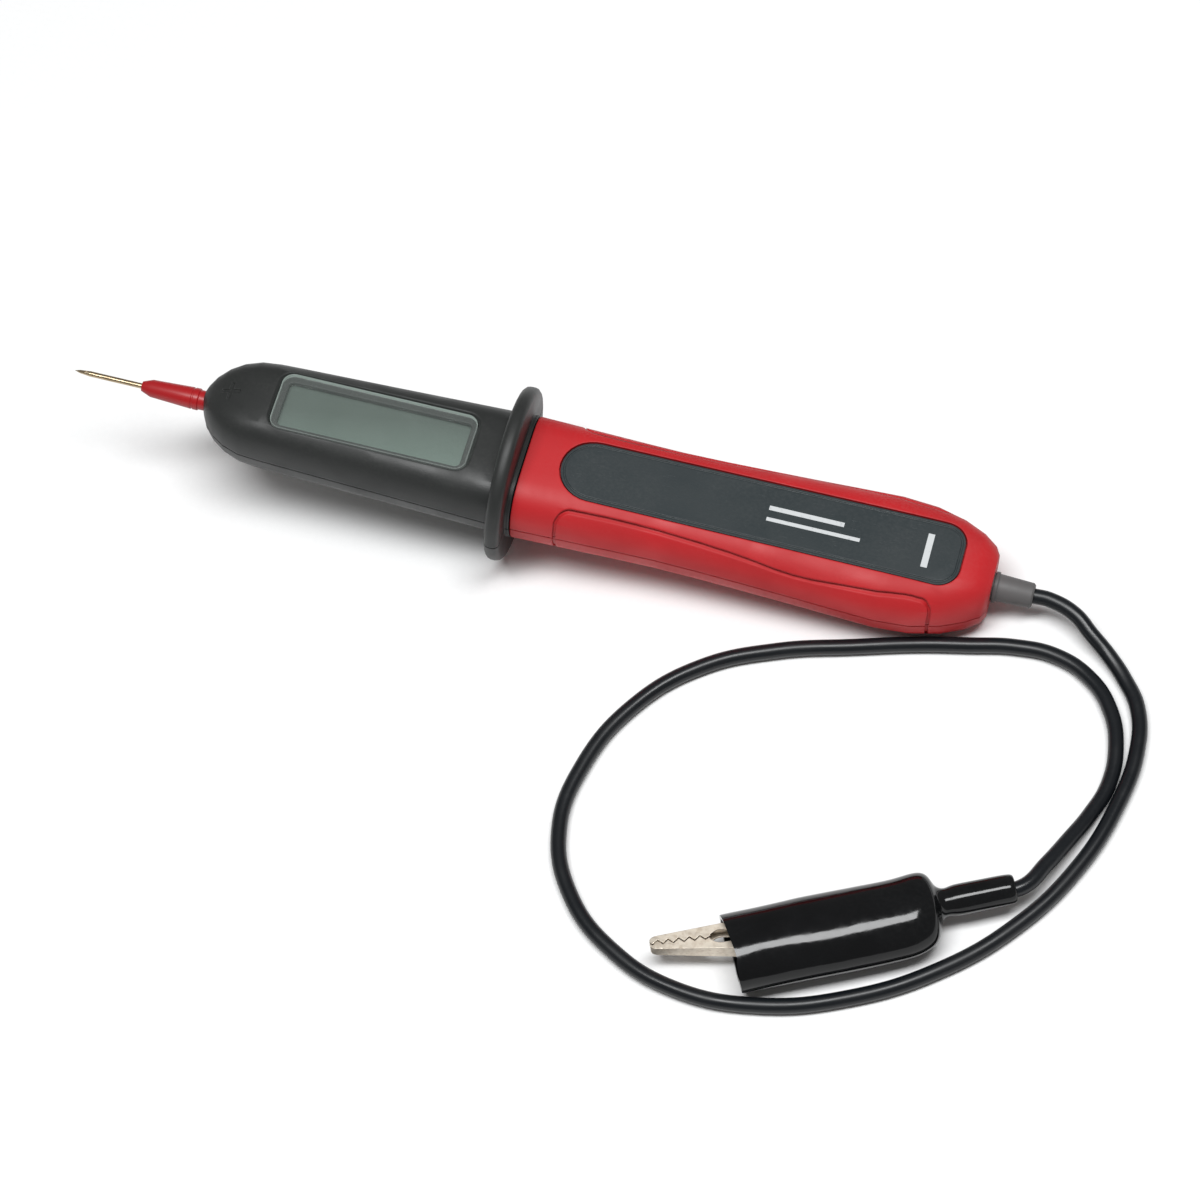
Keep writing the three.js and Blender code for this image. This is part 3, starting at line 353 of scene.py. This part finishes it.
def metal(name, colour, roughness, tarnish, turn=0.0, brushed=0.3, edge=0.0001):
    """Drawn or plated metal: brushed along its length, with tarnish in patches and edges painted brighter as
    a highlight.
    """
    material, tree, shader = start_material(name, roughness, Metallic=1.0)
    spot = add(tree, "ShaderNodeTexCoord").outputs["Object"]
    lengthways = add(
        tree, "ShaderNodeMapping", {"Vector": spot, "Rotation": (0, 0, -turn), "Scale": (60, 4200, 4200)}
    )
    lines = add(tree, "ShaderNodeTexNoise", {"Vector": lengthways.outputs[0], "Scale": 1.0, "Detail": 3.0})
    edges = use_group(tree, "Rounded edges", Radius=edge)
    marks = use_group(tree, "Handling marks", Scale=160.0)
    patchy = blended(tree, maths(tree, "MULTIPLY", marks["Rub"], 0.5), (*colour, 1.0), (*tarnish, 1.0))
    # painted highlight: the edges are painted brighter
    painted_edge_highlight = blended(tree, maths(tree, "MULTIPLY", edges["Edge"], 0.4), patchy, scaled(colour, 1.35))
    streaks = between(tree, lines.outputs[0], 0.3, 0.7, 0.0, 0.35)
    streaked = blended(tree, streaks, painted_edge_highlight, scaled(colour, 0.7))
    tree.links.new(streaked, shader["Base Color"])
    rough = maths(tree, "ADD", between(tree, lines.outputs[0], 0.3, 0.7, -0.05, 0.08), roughness)
    smudged = maths(tree, "ADD", rough, maths(tree, "MULTIPLY", marks["Smudge"], 0.08), clamp=True)
    tree.links.new(smudged, shader["Roughness"])
    scored = {"Height": lines.outputs[0], "Normal": edges["Normal"], "Distance": 0.000004}
    bump = add(tree, "ShaderNodeBump", {**scored, "Strength": brushed})
    tree.links.new(bump.outputs[0], shader["Normal"])
    return material


def dress(material, *nodes):
    """Gives CAD nodes a material."""
    for name in nodes:
        for material_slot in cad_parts[name].material_slots:
            material_slot.material = material


# ---------- operators ----------
class TESTER_OT_camera(bpy.types.Operator):
    """Set up the camera, a long lens that looks down over the tester"""

    bl_idname = "tester.camera"
    bl_label = "Camera"

    def execute(self, context):
        azimuth, elevation, roll = map(math.radians, (23.8775, 59.0278, -10.2597))
        distance = 0.994
        target = Vector((0.015153, -0.01837, 0.003772))
        level_part = math.cos(elevation)
        back = Vector(
            (math.sin(azimuth) * level_part, -math.cos(azimuth) * level_part, math.sin(elevation))
        )
        level = Vector((math.cos(azimuth), math.sin(azimuth), 0))
        right = Matrix.Rotation(roll, 3, back) @ level
        start_clean()
        bpy.ops.object.camera_add(location=target + back * distance)
        camera = bpy.context.object
        camera.name = "tester_camera"
        camera.rotation_euler = Matrix((right, back.cross(right), back)).transposed().to_euler()
        camera.data.lens = 137.44
        camera.data.sensor_width = 36
        camera.data.clip_start = 0.05
        context.scene.camera = camera
        return {"FINISHED"}


class TESTER_OT_ground_cord(bpy.types.Operator):
    """Lay the ground cord from the strain relief, round its loop, to the clip"""

    bl_idname = "tester.ground_cord"
    bl_label = "Ground cord"

    def execute(self, context):
        table = [  # the cord's centre in millimetres, as in the part's source
            (124.2, -1.9, 6.1),
            (128.5, -5.1, 4.5),
            (132.9, -8.4, 2.8),
            (137.2, -12.8, CORD_LIE),
            (141.4, -19.2, CORD_LIE),
            (143.4, -29, CORD_LIE),
            (142, -43, CORD_LIE),
            (136.8, -59.4, CORD_LIE),
            (127.4, -75, CORD_LIE),
            (114, -88.4, CORD_LIE),
            (97.6, -98.4, CORD_LIE),
            (79.4, -104.2, CORD_LIE),
            (61.6, -104.2, CORD_LIE),
            (46.8, -98.4, CORD_LIE),
            (35.2, -88.2, CORD_LIE),
            (28.6, -73.6, CORD_LIE),
            (29.4, -57.8, CORD_LIE),
            (36.4, -41.2, CORD_LIE),
            (48.2, -28.9, CORD_LIE),
            (63.4, -21.5, CORD_LIE),
            (79.4, -17.1, CORD_LIE),
            (93, -13.6, CORD_LIE),
            (103, -11.7, CORD_LIE),
            (113, -10, CORD_LIE),
            (122, -10.4, CORD_LIE),
            (130, -14.2, CORD_LIE),
            (135.8, -20.8, CORD_LIE),
            (138.9, -29.4, CORD_LIE),
            (139.2, -38.6, CORD_LIE),
            (137, -46.6, 2.5),
            (133.9, -54.7, 4.3),
            (131, -61.8, 6.1),
        ]
        route = [on_tester(CORD_START), on_tester(RELIEF_END), on_tester(RELIEF_END + 0.0035)]
        route += [Vector((x - ROUTE_SHIFT, y, z)) / 1000 for x, y, z in table]
        route += [on_boot(CLIP_LENGTH + 0.0015), on_boot(CLIP_LENGTH - 0.005), on_boot(CORD_END)]
        curve = bpy.data.curves.new("ground_cord", "CURVE")
        curve.dimensions = "3D"
        curve.resolution_u = 10
        curve.bevel_depth = CORD_RADIUS
        curve.bevel_resolution = 7
        curve.use_fill_caps = True
        spline = curve.splines.new("BEZIER")
        spline.bezier_points.add(len(route) - 1)
        for knot, point in zip(spline.bezier_points, route):
            knot.co = point
            knot.handle_left_type = knot.handle_right_type = "AUTO"
        cord = bpy.data.objects.new("ground_cord", curve)
        context.scene.collection.objects.link(cord)
        curve.materials.append(self.jacket())
        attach(cord, "tester")
        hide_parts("cord")
        return {"FINISHED"}

    def jacket(self):
        return moulded(
            "cord jacket",
            colours().cord,
            0.34,
            grain=1500,
            depth=0.000006,
            edge=0.0001,
            dust=0.01,
            edge_wear_and_highlight=0.05,
        )


class TESTER_OT_clip_boot(bpy.types.Operator):
    """Model the soft dipped boot over the clip, with its ragged mouth, pinched neck and tail"""

    bl_idname = "tester.clip_boot"
    bl_label = "Clip boot"

    def execute(self, context):
        wide, high = sizes().boot_half_width, sizes().boot_half_height
        rings = [  # millimetres behind the tip, and shares of the half width and the half height
            (17.0, 0.975, 0.96),
            (17.5, 0.985, 0.97),
            (19.5, 0.985, 0.975),
            (23.0, 0.99, 0.98),
            (28.0, 1.0, 0.995),
            (34.0, 1.01, 1.0),
            (41.0, 1.005, 1.0),
            (48.0, 1.0, 0.995),
            (53.0, 0.995, 0.99),
            (56.2, 0.975, 0.965),
            (58.2, 0.92, 0.905),
            (59.4, 0.82, 0.81),
            (60.1, 0.68, 0.7),
            (60.5, 0.54, 0.59),
        ]
        tail = [  # millimetres behind the tip, and the half width and half height in millimetres
            (60.9, 4.0, 3.7),
            (61.7, 3.25, 3.1),
            (62.6, 3.1, 3.0),
            (63.6, 3.4, 3.3),
            (65.0, 3.55, 3.45),
            (68.0, 3.5, 3.4),
            (72.0, 3.4, 3.3),
            (75.4, 3.3, 3.2),
            (76.5, 3.15, 3.05),
            (76.95, 2.8, 2.75),
            (77.05, 2.3, 2.3),
        ]
        stations = [(x / 1000 - JAW_END, wide * w, high * h) for x, w, h in rings]
        stations += [(x / 1000 - JAW_END, w / 1000, h / 1000) for x, w, h in tail]
        boot = drawn_tube("clip_boot_sleeve", stations, 40)
        mouth_end = stations[1][0] + 0.0001
        shift_start, shift_end = stations[8][0], stations[15][0]
        for vertex in boot.data.vertices:
            if vertex.co.x < mouth_end:
                vertex.co.x += self.flap(vertex.co)
            towards_tail = min(1, max(0, (vertex.co.x - shift_start) / (shift_end - shift_start)))
            vertex.co.y += BOOT_TAIL_OFFSET * towards_tail
        soften = boot.modifiers.new("soften", "SUBSURF")
        soften.levels = soften.render_levels = 2
        finish_modifier(boot, "soften")
        self.ripple(boot)
        wall = boot.modifiers.new("wall", "SOLIDIFY")
        wall.thickness = sizes().boot_wall
        wall.offset = -1
        wall.use_even_offset = True
        finish_modifier(boot, "wall")
        bpy.ops.object.shade_smooth_by_angle(angle=math.radians(50))
        place(boot, jaws_end(), (0, 0, BOOT_TURN))
        boot.data.materials.append(self.dipped())
        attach(boot, "tester")
        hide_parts("clip_boot")
        return {"FINISHED"}

    def flap(self, co):
        """How far the mouth's edge moves: out low on the +Y side, and slanting back over the top."""
        flap_out, slant, side_cut = -0.0011, 0.0017, 0.0002
        slant_start, slant_end, side_end, flap_start = 20, 128, 240, 300  # degrees from +Y over +Z
        angle = math.degrees(math.atan2(co.z, co.y)) % 360
        if angle < slant_end:
            return flap_out + slant * max(0, angle - slant_start) / (slant_end - slant_start)
        if angle < side_end:
            return side_cut
        return flap_out if angle > flap_start else 0.0

    def ripple(self, boot):
        """Shallow waves where the soft wall sags over the jaws' handles."""
        waves = bpy.data.textures.new("boot waves", "CLOUDS")
        waves.noise_scale = 0.011
        waves.noise_depth = 1
        sag = boot.modifiers.new("sag", "DISPLACE")
        sag.texture = waves
        sag.texture_coords = "LOCAL"
        sag.mid_level = 1.0
        sag.strength = sizes().boot_ripple
        finish_modifier(boot, "sag")

    def dipped(self):
        material, tree, shader = start_material("dipped boot", 0.16, Specular_IOR_Level=0.35)
        spot = add(tree, "ShaderNodeTexCoord").outputs["Object"]
        skin = add(tree, "ShaderNodeTexNoise", {"Vector": spot, "Scale": 320.0, "Detail": 2.0}).outputs[0]
        pits = add(tree, "ShaderNodeTexNoise", {"Vector": spot, "Scale": 2600.0, "Detail": 2.0}).outputs[0]
        marks = use_group(tree, "Handling marks", Scale=90.0)
        film = use_group(tree, "Settled dust", Amount=0.02)
        colour = colours().boot
        mottled = blended(tree, marks["Smudge"], scaled(colour, 0.8), scaled(colour, 1.3))
        tree.links.new(blended(tree, film["Mask"], mottled, (0.3, 0.3, 0.3, 1)), shader["Base Color"])
        rough = between(tree, marks["Rub"], 0.0, 1.0, 0.09, 0.14)
        tree.links.new(maths(tree, "ADD", rough, film["Mask"], clamp=True), shader["Roughness"])
        height = maths(tree, "ADD", skin, maths(tree, "MULTIPLY", pits, 0.06))
        bump = add(tree, "ShaderNodeBump", {"Height": height, "Distance": 0.00003})
        tree.links.new(bump.outputs[0], shader["Normal"])
        return material


class TESTER_OT_label_plate(bpy.types.Operator):
    """Finish the label plate on the handle, with a narrow rim, a groove inside it and printed bars"""

    bl_idname = "tester.label_plate"
    bl_label = "Label plate"

    def execute(self, context):
        start_clean()
        plate = bpy.data.objects.new("label_plate_finished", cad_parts["label_plate"].data.copy())
        context.scene.collection.objects.link(plate)
        plate.matrix_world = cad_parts["label_plate"].matrix_world
        place(plate, plate.location, plate.rotation_euler)
        bpy.ops.object.mode_set(mode="EDIT")
        bpy.ops.mesh.select_all(action="SELECT")
        bpy.ops.mesh.remove_doubles(threshold=0.0001)
        bpy.ops.mesh.customdata_custom_splitnormals_clear()
        bpy.ops.mesh.normals_make_consistent(inside=False)
        bpy.ops.mesh.select_mode(type="FACE")
        bpy.ops.mesh.select_all(action="DESELECT")
        bpy.ops.object.mode_set(mode="OBJECT")
        for face in plate.data.polygons:
            face.select = face.normal.z > 0.9
        bpy.ops.object.mode_set(mode="EDIT")
        bpy.ops.mesh.dissolve_faces()
        rim, groove, slope = sizes().label_rim, sizes().label_groove, 0.0001
        for wide, rise in ((rim, 0), (slope, -groove), (1.5 * groove, 0), (slope, groove)):
            bpy.ops.mesh.inset(thickness=wide, depth=rise, use_even_offset=False)
        bpy.ops.mesh.quads_convert_to_tris()
        bpy.ops.object.mode_set(mode="OBJECT")
        along = [vertex.co.x for vertex in plate.data.vertices]
        if max(along) - min(along) > LABEL_LENGTH_LIMIT:
            raise RuntimeError("the label plate's rim has run out of its outline")
        bpy.ops.object.shade_smooth_by_angle(angle=math.radians(30))
        given = colours()
        plate.data.materials.clear()
        finish = moulded("label plate", given.label, 0.4, grain=2600, depth=0.000014, edge=0.0002, edge_wear_and_highlight=0.6)
        self.print_bars(finish)
        plate.data.materials.append(finish)
        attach(plate, "tester")
        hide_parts("label_plate")
        return {"FINISHED"}

    def print_bars(self, finish):
        """Prints two plain white bars along the plate, and one across it near its rear."""
        tree = finish.node_tree
        shader = tree.nodes["Principled BSDF"].inputs
        under = shader["Base Color"].links[0].from_socket
        spot = add(tree, "ShaderNodeTexCoord").outputs["Object"]
        axes = add(tree, "ShaderNodeSeparateXYZ", {0: spot}).outputs
        printed = 0.0
        for x, y, half_length, half_width in PRINTED_BARS:
            along = self.near(tree, axes["X"], x, half_length)
            across = self.near(tree, axes["Y"], y, half_width)
            printed = maths(tree, "MAXIMUM", maths(tree, "MULTIPLY", along, across), printed)
        ink = add(tree, "ShaderNodeTexNoise", {"Vector": spot, "Scale": 1500.0}).outputs[0]
        worn = maths(tree, "MULTIPLY", printed, between(tree, ink, 0.25, 0.4, 0.7, 0.95))
        white = (0.62, 0.64, 0.65, 1)
        tree.links.new(blended(tree, worn, under, white), shader["Base Color"])

    def near(self, tree, value, middle, reach):
        """One where the value is less than reach from the middle, and zero elsewhere."""
        gap = maths(tree, "ABSOLUTE", maths(tree, "SUBTRACT", value, middle))
        return maths(tree, "LESS_THAN", gap, reach)


class TESTER_OT_finishes(bpy.types.Operator):
    """Give every moulded, metal and inner piece its finish"""

    bl_idname = "tester.finishes"
    bl_label = "Finishes"

    def execute(self, context):
        self.soften_facets()
        given = colours()
        red = moulded("red handle", given.red, 0.54, grain=3600, depth=0.000012, edge=0.00045, edge_wear_and_highlight=0.35)
        dress(red, "handle_top", "handle_bottom")
        darker_red = scaled(given.red, 0.75)[:3]
        sleeve = moulded("red probe sleeve", darker_red, 0.4, grain=5000, depth=0.000004, edge=0.00015)
        dress(sleeve, "probe_sleeve")
        black = moulded("black housing", given.black, 0.46, grain=3600, depth=0.000012, edge=0.0005, edge_wear_and_highlight=0.3)
        dress(black, "front_housing_top", "front_housing_bottom")
        relief = moulded("relief rubber", given.relief, 0.5, grain=1800, depth=0.000012, edge=0.0003)
        dress(relief, "strain_relief")
        dress(self.screen(), "lcd_panel", "lcd_frame")
        dress(self.window(), "display_window")
        jaws = metal("nickel jaws", given.nickel, 0.36, (0.5, 0.4, 0.3), turn=CLIP_TURN)
        dress(jaws, "clip_fixed_jaw", "clip_moving_jaw")
        needle = metal("needle steel", (0.52, 0.41, 0.27), 0.24, (0.34, 0.24, 0.14))
        dress(needle, "probe_needle", "clip_spring")
        brass = metal("brass", (0.62, 0.42, 0.16), 0.3, (0.3, 0.18, 0.08))
        dress(brass, "probe_socket", "probe_lead", "cord_ferrule")
        zinc = metal("zinc", (0.55, 0.56, 0.57), 0.35, (0.3, 0.3, 0.3), brushed=0.1)
        screws = [f"{half}_screw_{i}" for half in ("housing", "handle") for i in range(1, 5)]
        dress(zinc, "clip_rivet", *screws)
        self.electronics()
        return {"FINISHED"}

    def electronics(self):
        board = moulded("solder resist", (0.03, 0.15, 0.06), 0.35, grain=900, depth=0.00003)
        dress(board, "circuit_board")
        epoxy = moulded("black epoxy", (0.02, 0.02, 0.022), 0.5)
        dress(epoxy, "converter_chip", "polarity_diode")
        dress(moulded("fired ceramic", (0.45, 0.3, 0.13), 0.5), "filter_capacitor")
        dress(moulded("resistor lacquer", (0.22, 0.36, 0.5), 0.3), "input_resistor")
        rubber = moulded("contact rubber", (0.45, 0.28, 0.31), 0.7)
        dress(rubber, "contact_strip_left", "contact_strip_right")
        dress(moulded("lead insulation", (0.015, 0.015, 0.016), 0.35), "ground_lead")

    def soften_facets(self):
        """Shades the CAD nodes smooth across shallow angles, and leaves their real edges sharp."""
        tree = bpy.data.node_groups.new("Soft shading", "GeometryNodeTree")
        tree.interface.new_socket(name="Geometry", in_out="INPUT", socket_type="NodeSocketGeometry")
        tree.interface.new_socket(name="Geometry", in_out="OUTPUT", socket_type="NodeSocketGeometry")
        given, made = tree.nodes.new("NodeGroupInput"), tree.nodes.new("NodeGroupOutput")
        whole = {"Geometry": given.outputs[0], "Distance": 1e-6}
        joined = add(tree, "GeometryNodeMergeByDistance", whole).outputs[0]
        plain = {"Geometry": joined, "Name": "custom_normal"}
        bare = add(tree, "GeometryNodeRemoveAttribute", plain)
        smooth = add(tree, "GeometryNodeSetShadeSmooth", {"Geometry": bare.outputs[0], "Shade Smooth": True})
        angle = add(tree, "GeometryNodeInputMeshEdgeAngle").outputs["Unsigned Angle"]
        sharp = add(tree, "FunctionNodeCompare", {0: angle, 1: math.radians(33)}, operation="GREATER_THAN")
        creased = add(
            tree,
            "GeometryNodeSetShadeSmooth",
            {"Geometry": smooth.outputs[0], "Selection": sharp.outputs[0], "Shade Smooth": False},
            domain="EDGE",
        )
        tree.links.new(creased.outputs[0], made.inputs[0])
        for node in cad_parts.values():
            node.modifiers.new("soft shading", "NODES").node_group = tree

    def screen(self):
        """A blank liquid crystal cell: grey-green, with painted shade that makes it darker towards its far
        and left edges.
        """
        material, tree, shader = start_material("blank screen", 0.22, Coat_Weight=0.3, Coat_Roughness=0.08)
        spot = add(tree, "ShaderNodeTexCoord").outputs["Object"]
        centred = {"Vector": spot, "Location": (0.039, 0, 0), "Scale": (22, 70, 1)}
        place_on_cell = add(tree, "ShaderNodeMapping", centred).outputs[0]
        axes = add(tree, "ShaderNodeSeparateXYZ", {0: place_on_cell}).outputs
        haze = add(tree, "ShaderNodeTexNoise", {"Vector": spot, "Scale": 60.0, "Detail": 3.0}).outputs[0]
        fine = add(tree, "ShaderNodeTexNoise", {"Vector": spot, "Scale": 5200.0, "Detail": 1.0}).outputs[0]
        colour = colours().screen
        # painted shade: the cell and its frame are darkened towards the far and left edges, where the
        # window's recess shades them
        slanting = maths(tree, "SUBTRACT", maths(tree, "MULTIPLY", axes["X"], 0.5), axes["Y"])
        across = between(tree, slanting, -0.6, 0.35)
        painted_shade_gradient = blended(tree, across, scaled(colour, 0.4), scaled(colour, 1.1))
        hazy = blended(tree, maths(tree, "MULTIPLY", haze, 0.3), painted_shade_gradient, scaled(colour, 0.85))
        speckled = blended(tree, maths(tree, "MULTIPLY", fine, 0.12), hazy, (0.3, 0.33, 0.3, 1))
        tree.links.new(speckled, shader["Base Color"])
        tree.links.new(between(tree, haze, 0.3, 0.7, 0.18, 0.28), shader["Roughness"])
        return material

    def window(self):
        """The hard-coated clear lens: nearly invisible face on, brighter at a slant through a painted
        reflection, with a painted glint along its rounded edges and faint smudges.
        """
        material, tree, shader = start_material("clear window", 0.04, IOR=1.49)
        marks = use_group(tree, "Handling marks", Scale=120.0)
        film = use_group(tree, "Settled dust", Amount=0.03)
        # painted reflection: the pale lens colour shows more at a slant, and a painted glint shows along the
        # rounded edges
        painted_reflection = add(tree, "ShaderNodeFresnel", {"IOR": 1.49}).outputs[0]
        edge = maths(tree, "MULTIPLY", use_group(tree, "Rounded edges", Radius=0.0006)["Edge"], 0.45)
        painted_reflection = maths(tree, "ADD", painted_reflection, edge)
        smudge = maths(tree, "MULTIPLY", marks["Smudge"], 0.008)
        seen = maths(tree, "ADD", painted_reflection, maths(tree, "ADD", smudge, film["Mask"]))
        tree.links.new(maths(tree, "MINIMUM", seen, 1.0, clamp=True), shader["Alpha"])
        # the pale base colour is the colour of the painted reflection and glint, and of dust
        reflection_and_dust_colour = blended(tree, film["Mask"], (0.5, 0.56, 0.53, 1), (0.6, 0.6, 0.58, 1))
        tree.links.new(reflection_and_dust_colour, shader["Base Color"])
        tree.links.new(between(tree, marks["Smudge"], 0.0, 1.0, 0.03, 0.1), shader["Roughness"])
        return material


class TESTER_OT_studio(bpy.types.Operator):
    """Set a pale floor under a large overhead softbox and a white surround"""

    bl_idname = "tester.studio"
    bl_label = "Studio"

    def execute(self, context):
        start_clean()
        bpy.ops.mesh.primitive_plane_add(size=sizes().floor_width)
        floor = bpy.context.object
        floor.name = "studio_floor"
        floor.data.materials.append(self.paper())
        self.softbox("overhead", where=(0.1, -0.2, 1.5), width=1.3, depth=0.42, watts=27.0)
        world = bpy.data.worlds.new("white surround")
        context.scene.world = world
        world.use_nodes = True
        background = world.node_tree.nodes["Background"]
        warm_white = (1.0, 0.985, 0.97, 1)
        background.inputs["Color"].default_value = warm_white
        background.inputs["Strength"].default_value = 0.18
        context.scene.view_settings.view_transform = "Standard"
        return {"FINISHED"}

    def softbox(self, name, where, width, depth, watts):
        """A rectangular light that faces the origin."""
        start_clean()
        bpy.ops.object.light_add(type="AREA", location=where)
        light = bpy.context.object
        light.name = name
        light.data.shape = "RECTANGLE"
        light.data.size, light.data.size_y = width, depth
        light.data.energy = watts
        cool_white = (0.985, 0.995, 1.0)
        light.data.color = cool_white
        light.rotation_euler = Vector(where).to_track_quat("Z", "Y").to_euler()

    def paper(self):
        material, tree, shader = start_material("studio paper", 0.9)
        spot = add(tree, "ShaderNodeTexCoord").outputs["Object"]
        fibre = add(tree, "ShaderNodeTexNoise", {"Vector": spot, "Scale": 900.0, "Detail": 4.0}).outputs[0]
        tone = blended(tree, fibre, (0.86, 0.86, 0.86, 1), (0.9, 0.9, 0.9, 1))
        tree.links.new(tone, shader["Base Color"])
        return material


class TESTER_PT_panel(bpy.types.Panel):
    """Lists the tester's pieces in the sidebar"""

    bl_idname = "TESTER_PT_panel"
    bl_label = "Voltage tester"
    bl_space_type = "VIEW_3D"
    bl_region_type = "UI"
    bl_category = "Tester"

    def draw(self, context):
        for operator in OPERATORS:
            self.layout.operator(operator.bl_idname)
        for group in (context.scene.tester_sizes, context.scene.tester_colours):
            for key in group.bl_rna.properties.keys():
                if key not in ("rna_type", "name"):
                    self.layout.prop(group, key)


OPERATORS = (
    TESTER_OT_camera,
    TESTER_OT_ground_cord,
    TESTER_OT_clip_boot,
    TESTER_OT_label_plate,
    TESTER_OT_finishes,
    TESTER_OT_studio,
)
CLASSES = (TesterSizes, TesterColours, *OPERATORS, TESTER_PT_panel)


def register():
    for cls in CLASSES:
        bpy.utils.register_class(cls)
    bpy.types.Scene.tester_sizes = PointerProperty(type=TesterSizes)
    bpy.types.Scene.tester_colours = PointerProperty(type=TesterColours)


def unregister():
    del bpy.types.Scene.tester_colours
    del bpy.types.Scene.tester_sizes
    for cls in reversed(CLASSES):
        bpy.utils.unregister_class(cls)


def main():
    register()
    make_grain_group()
    make_edges_group()
    make_handling_group()
    make_dust_group()
    bpy.ops.tester.camera()
    bpy.ops.tester.ground_cord()
    bpy.ops.tester.clip_boot()
    bpy.ops.tester.label_plate()
    bpy.ops.tester.finishes()
    bpy.ops.tester.studio()


if __name__ == "__main__":
    main()
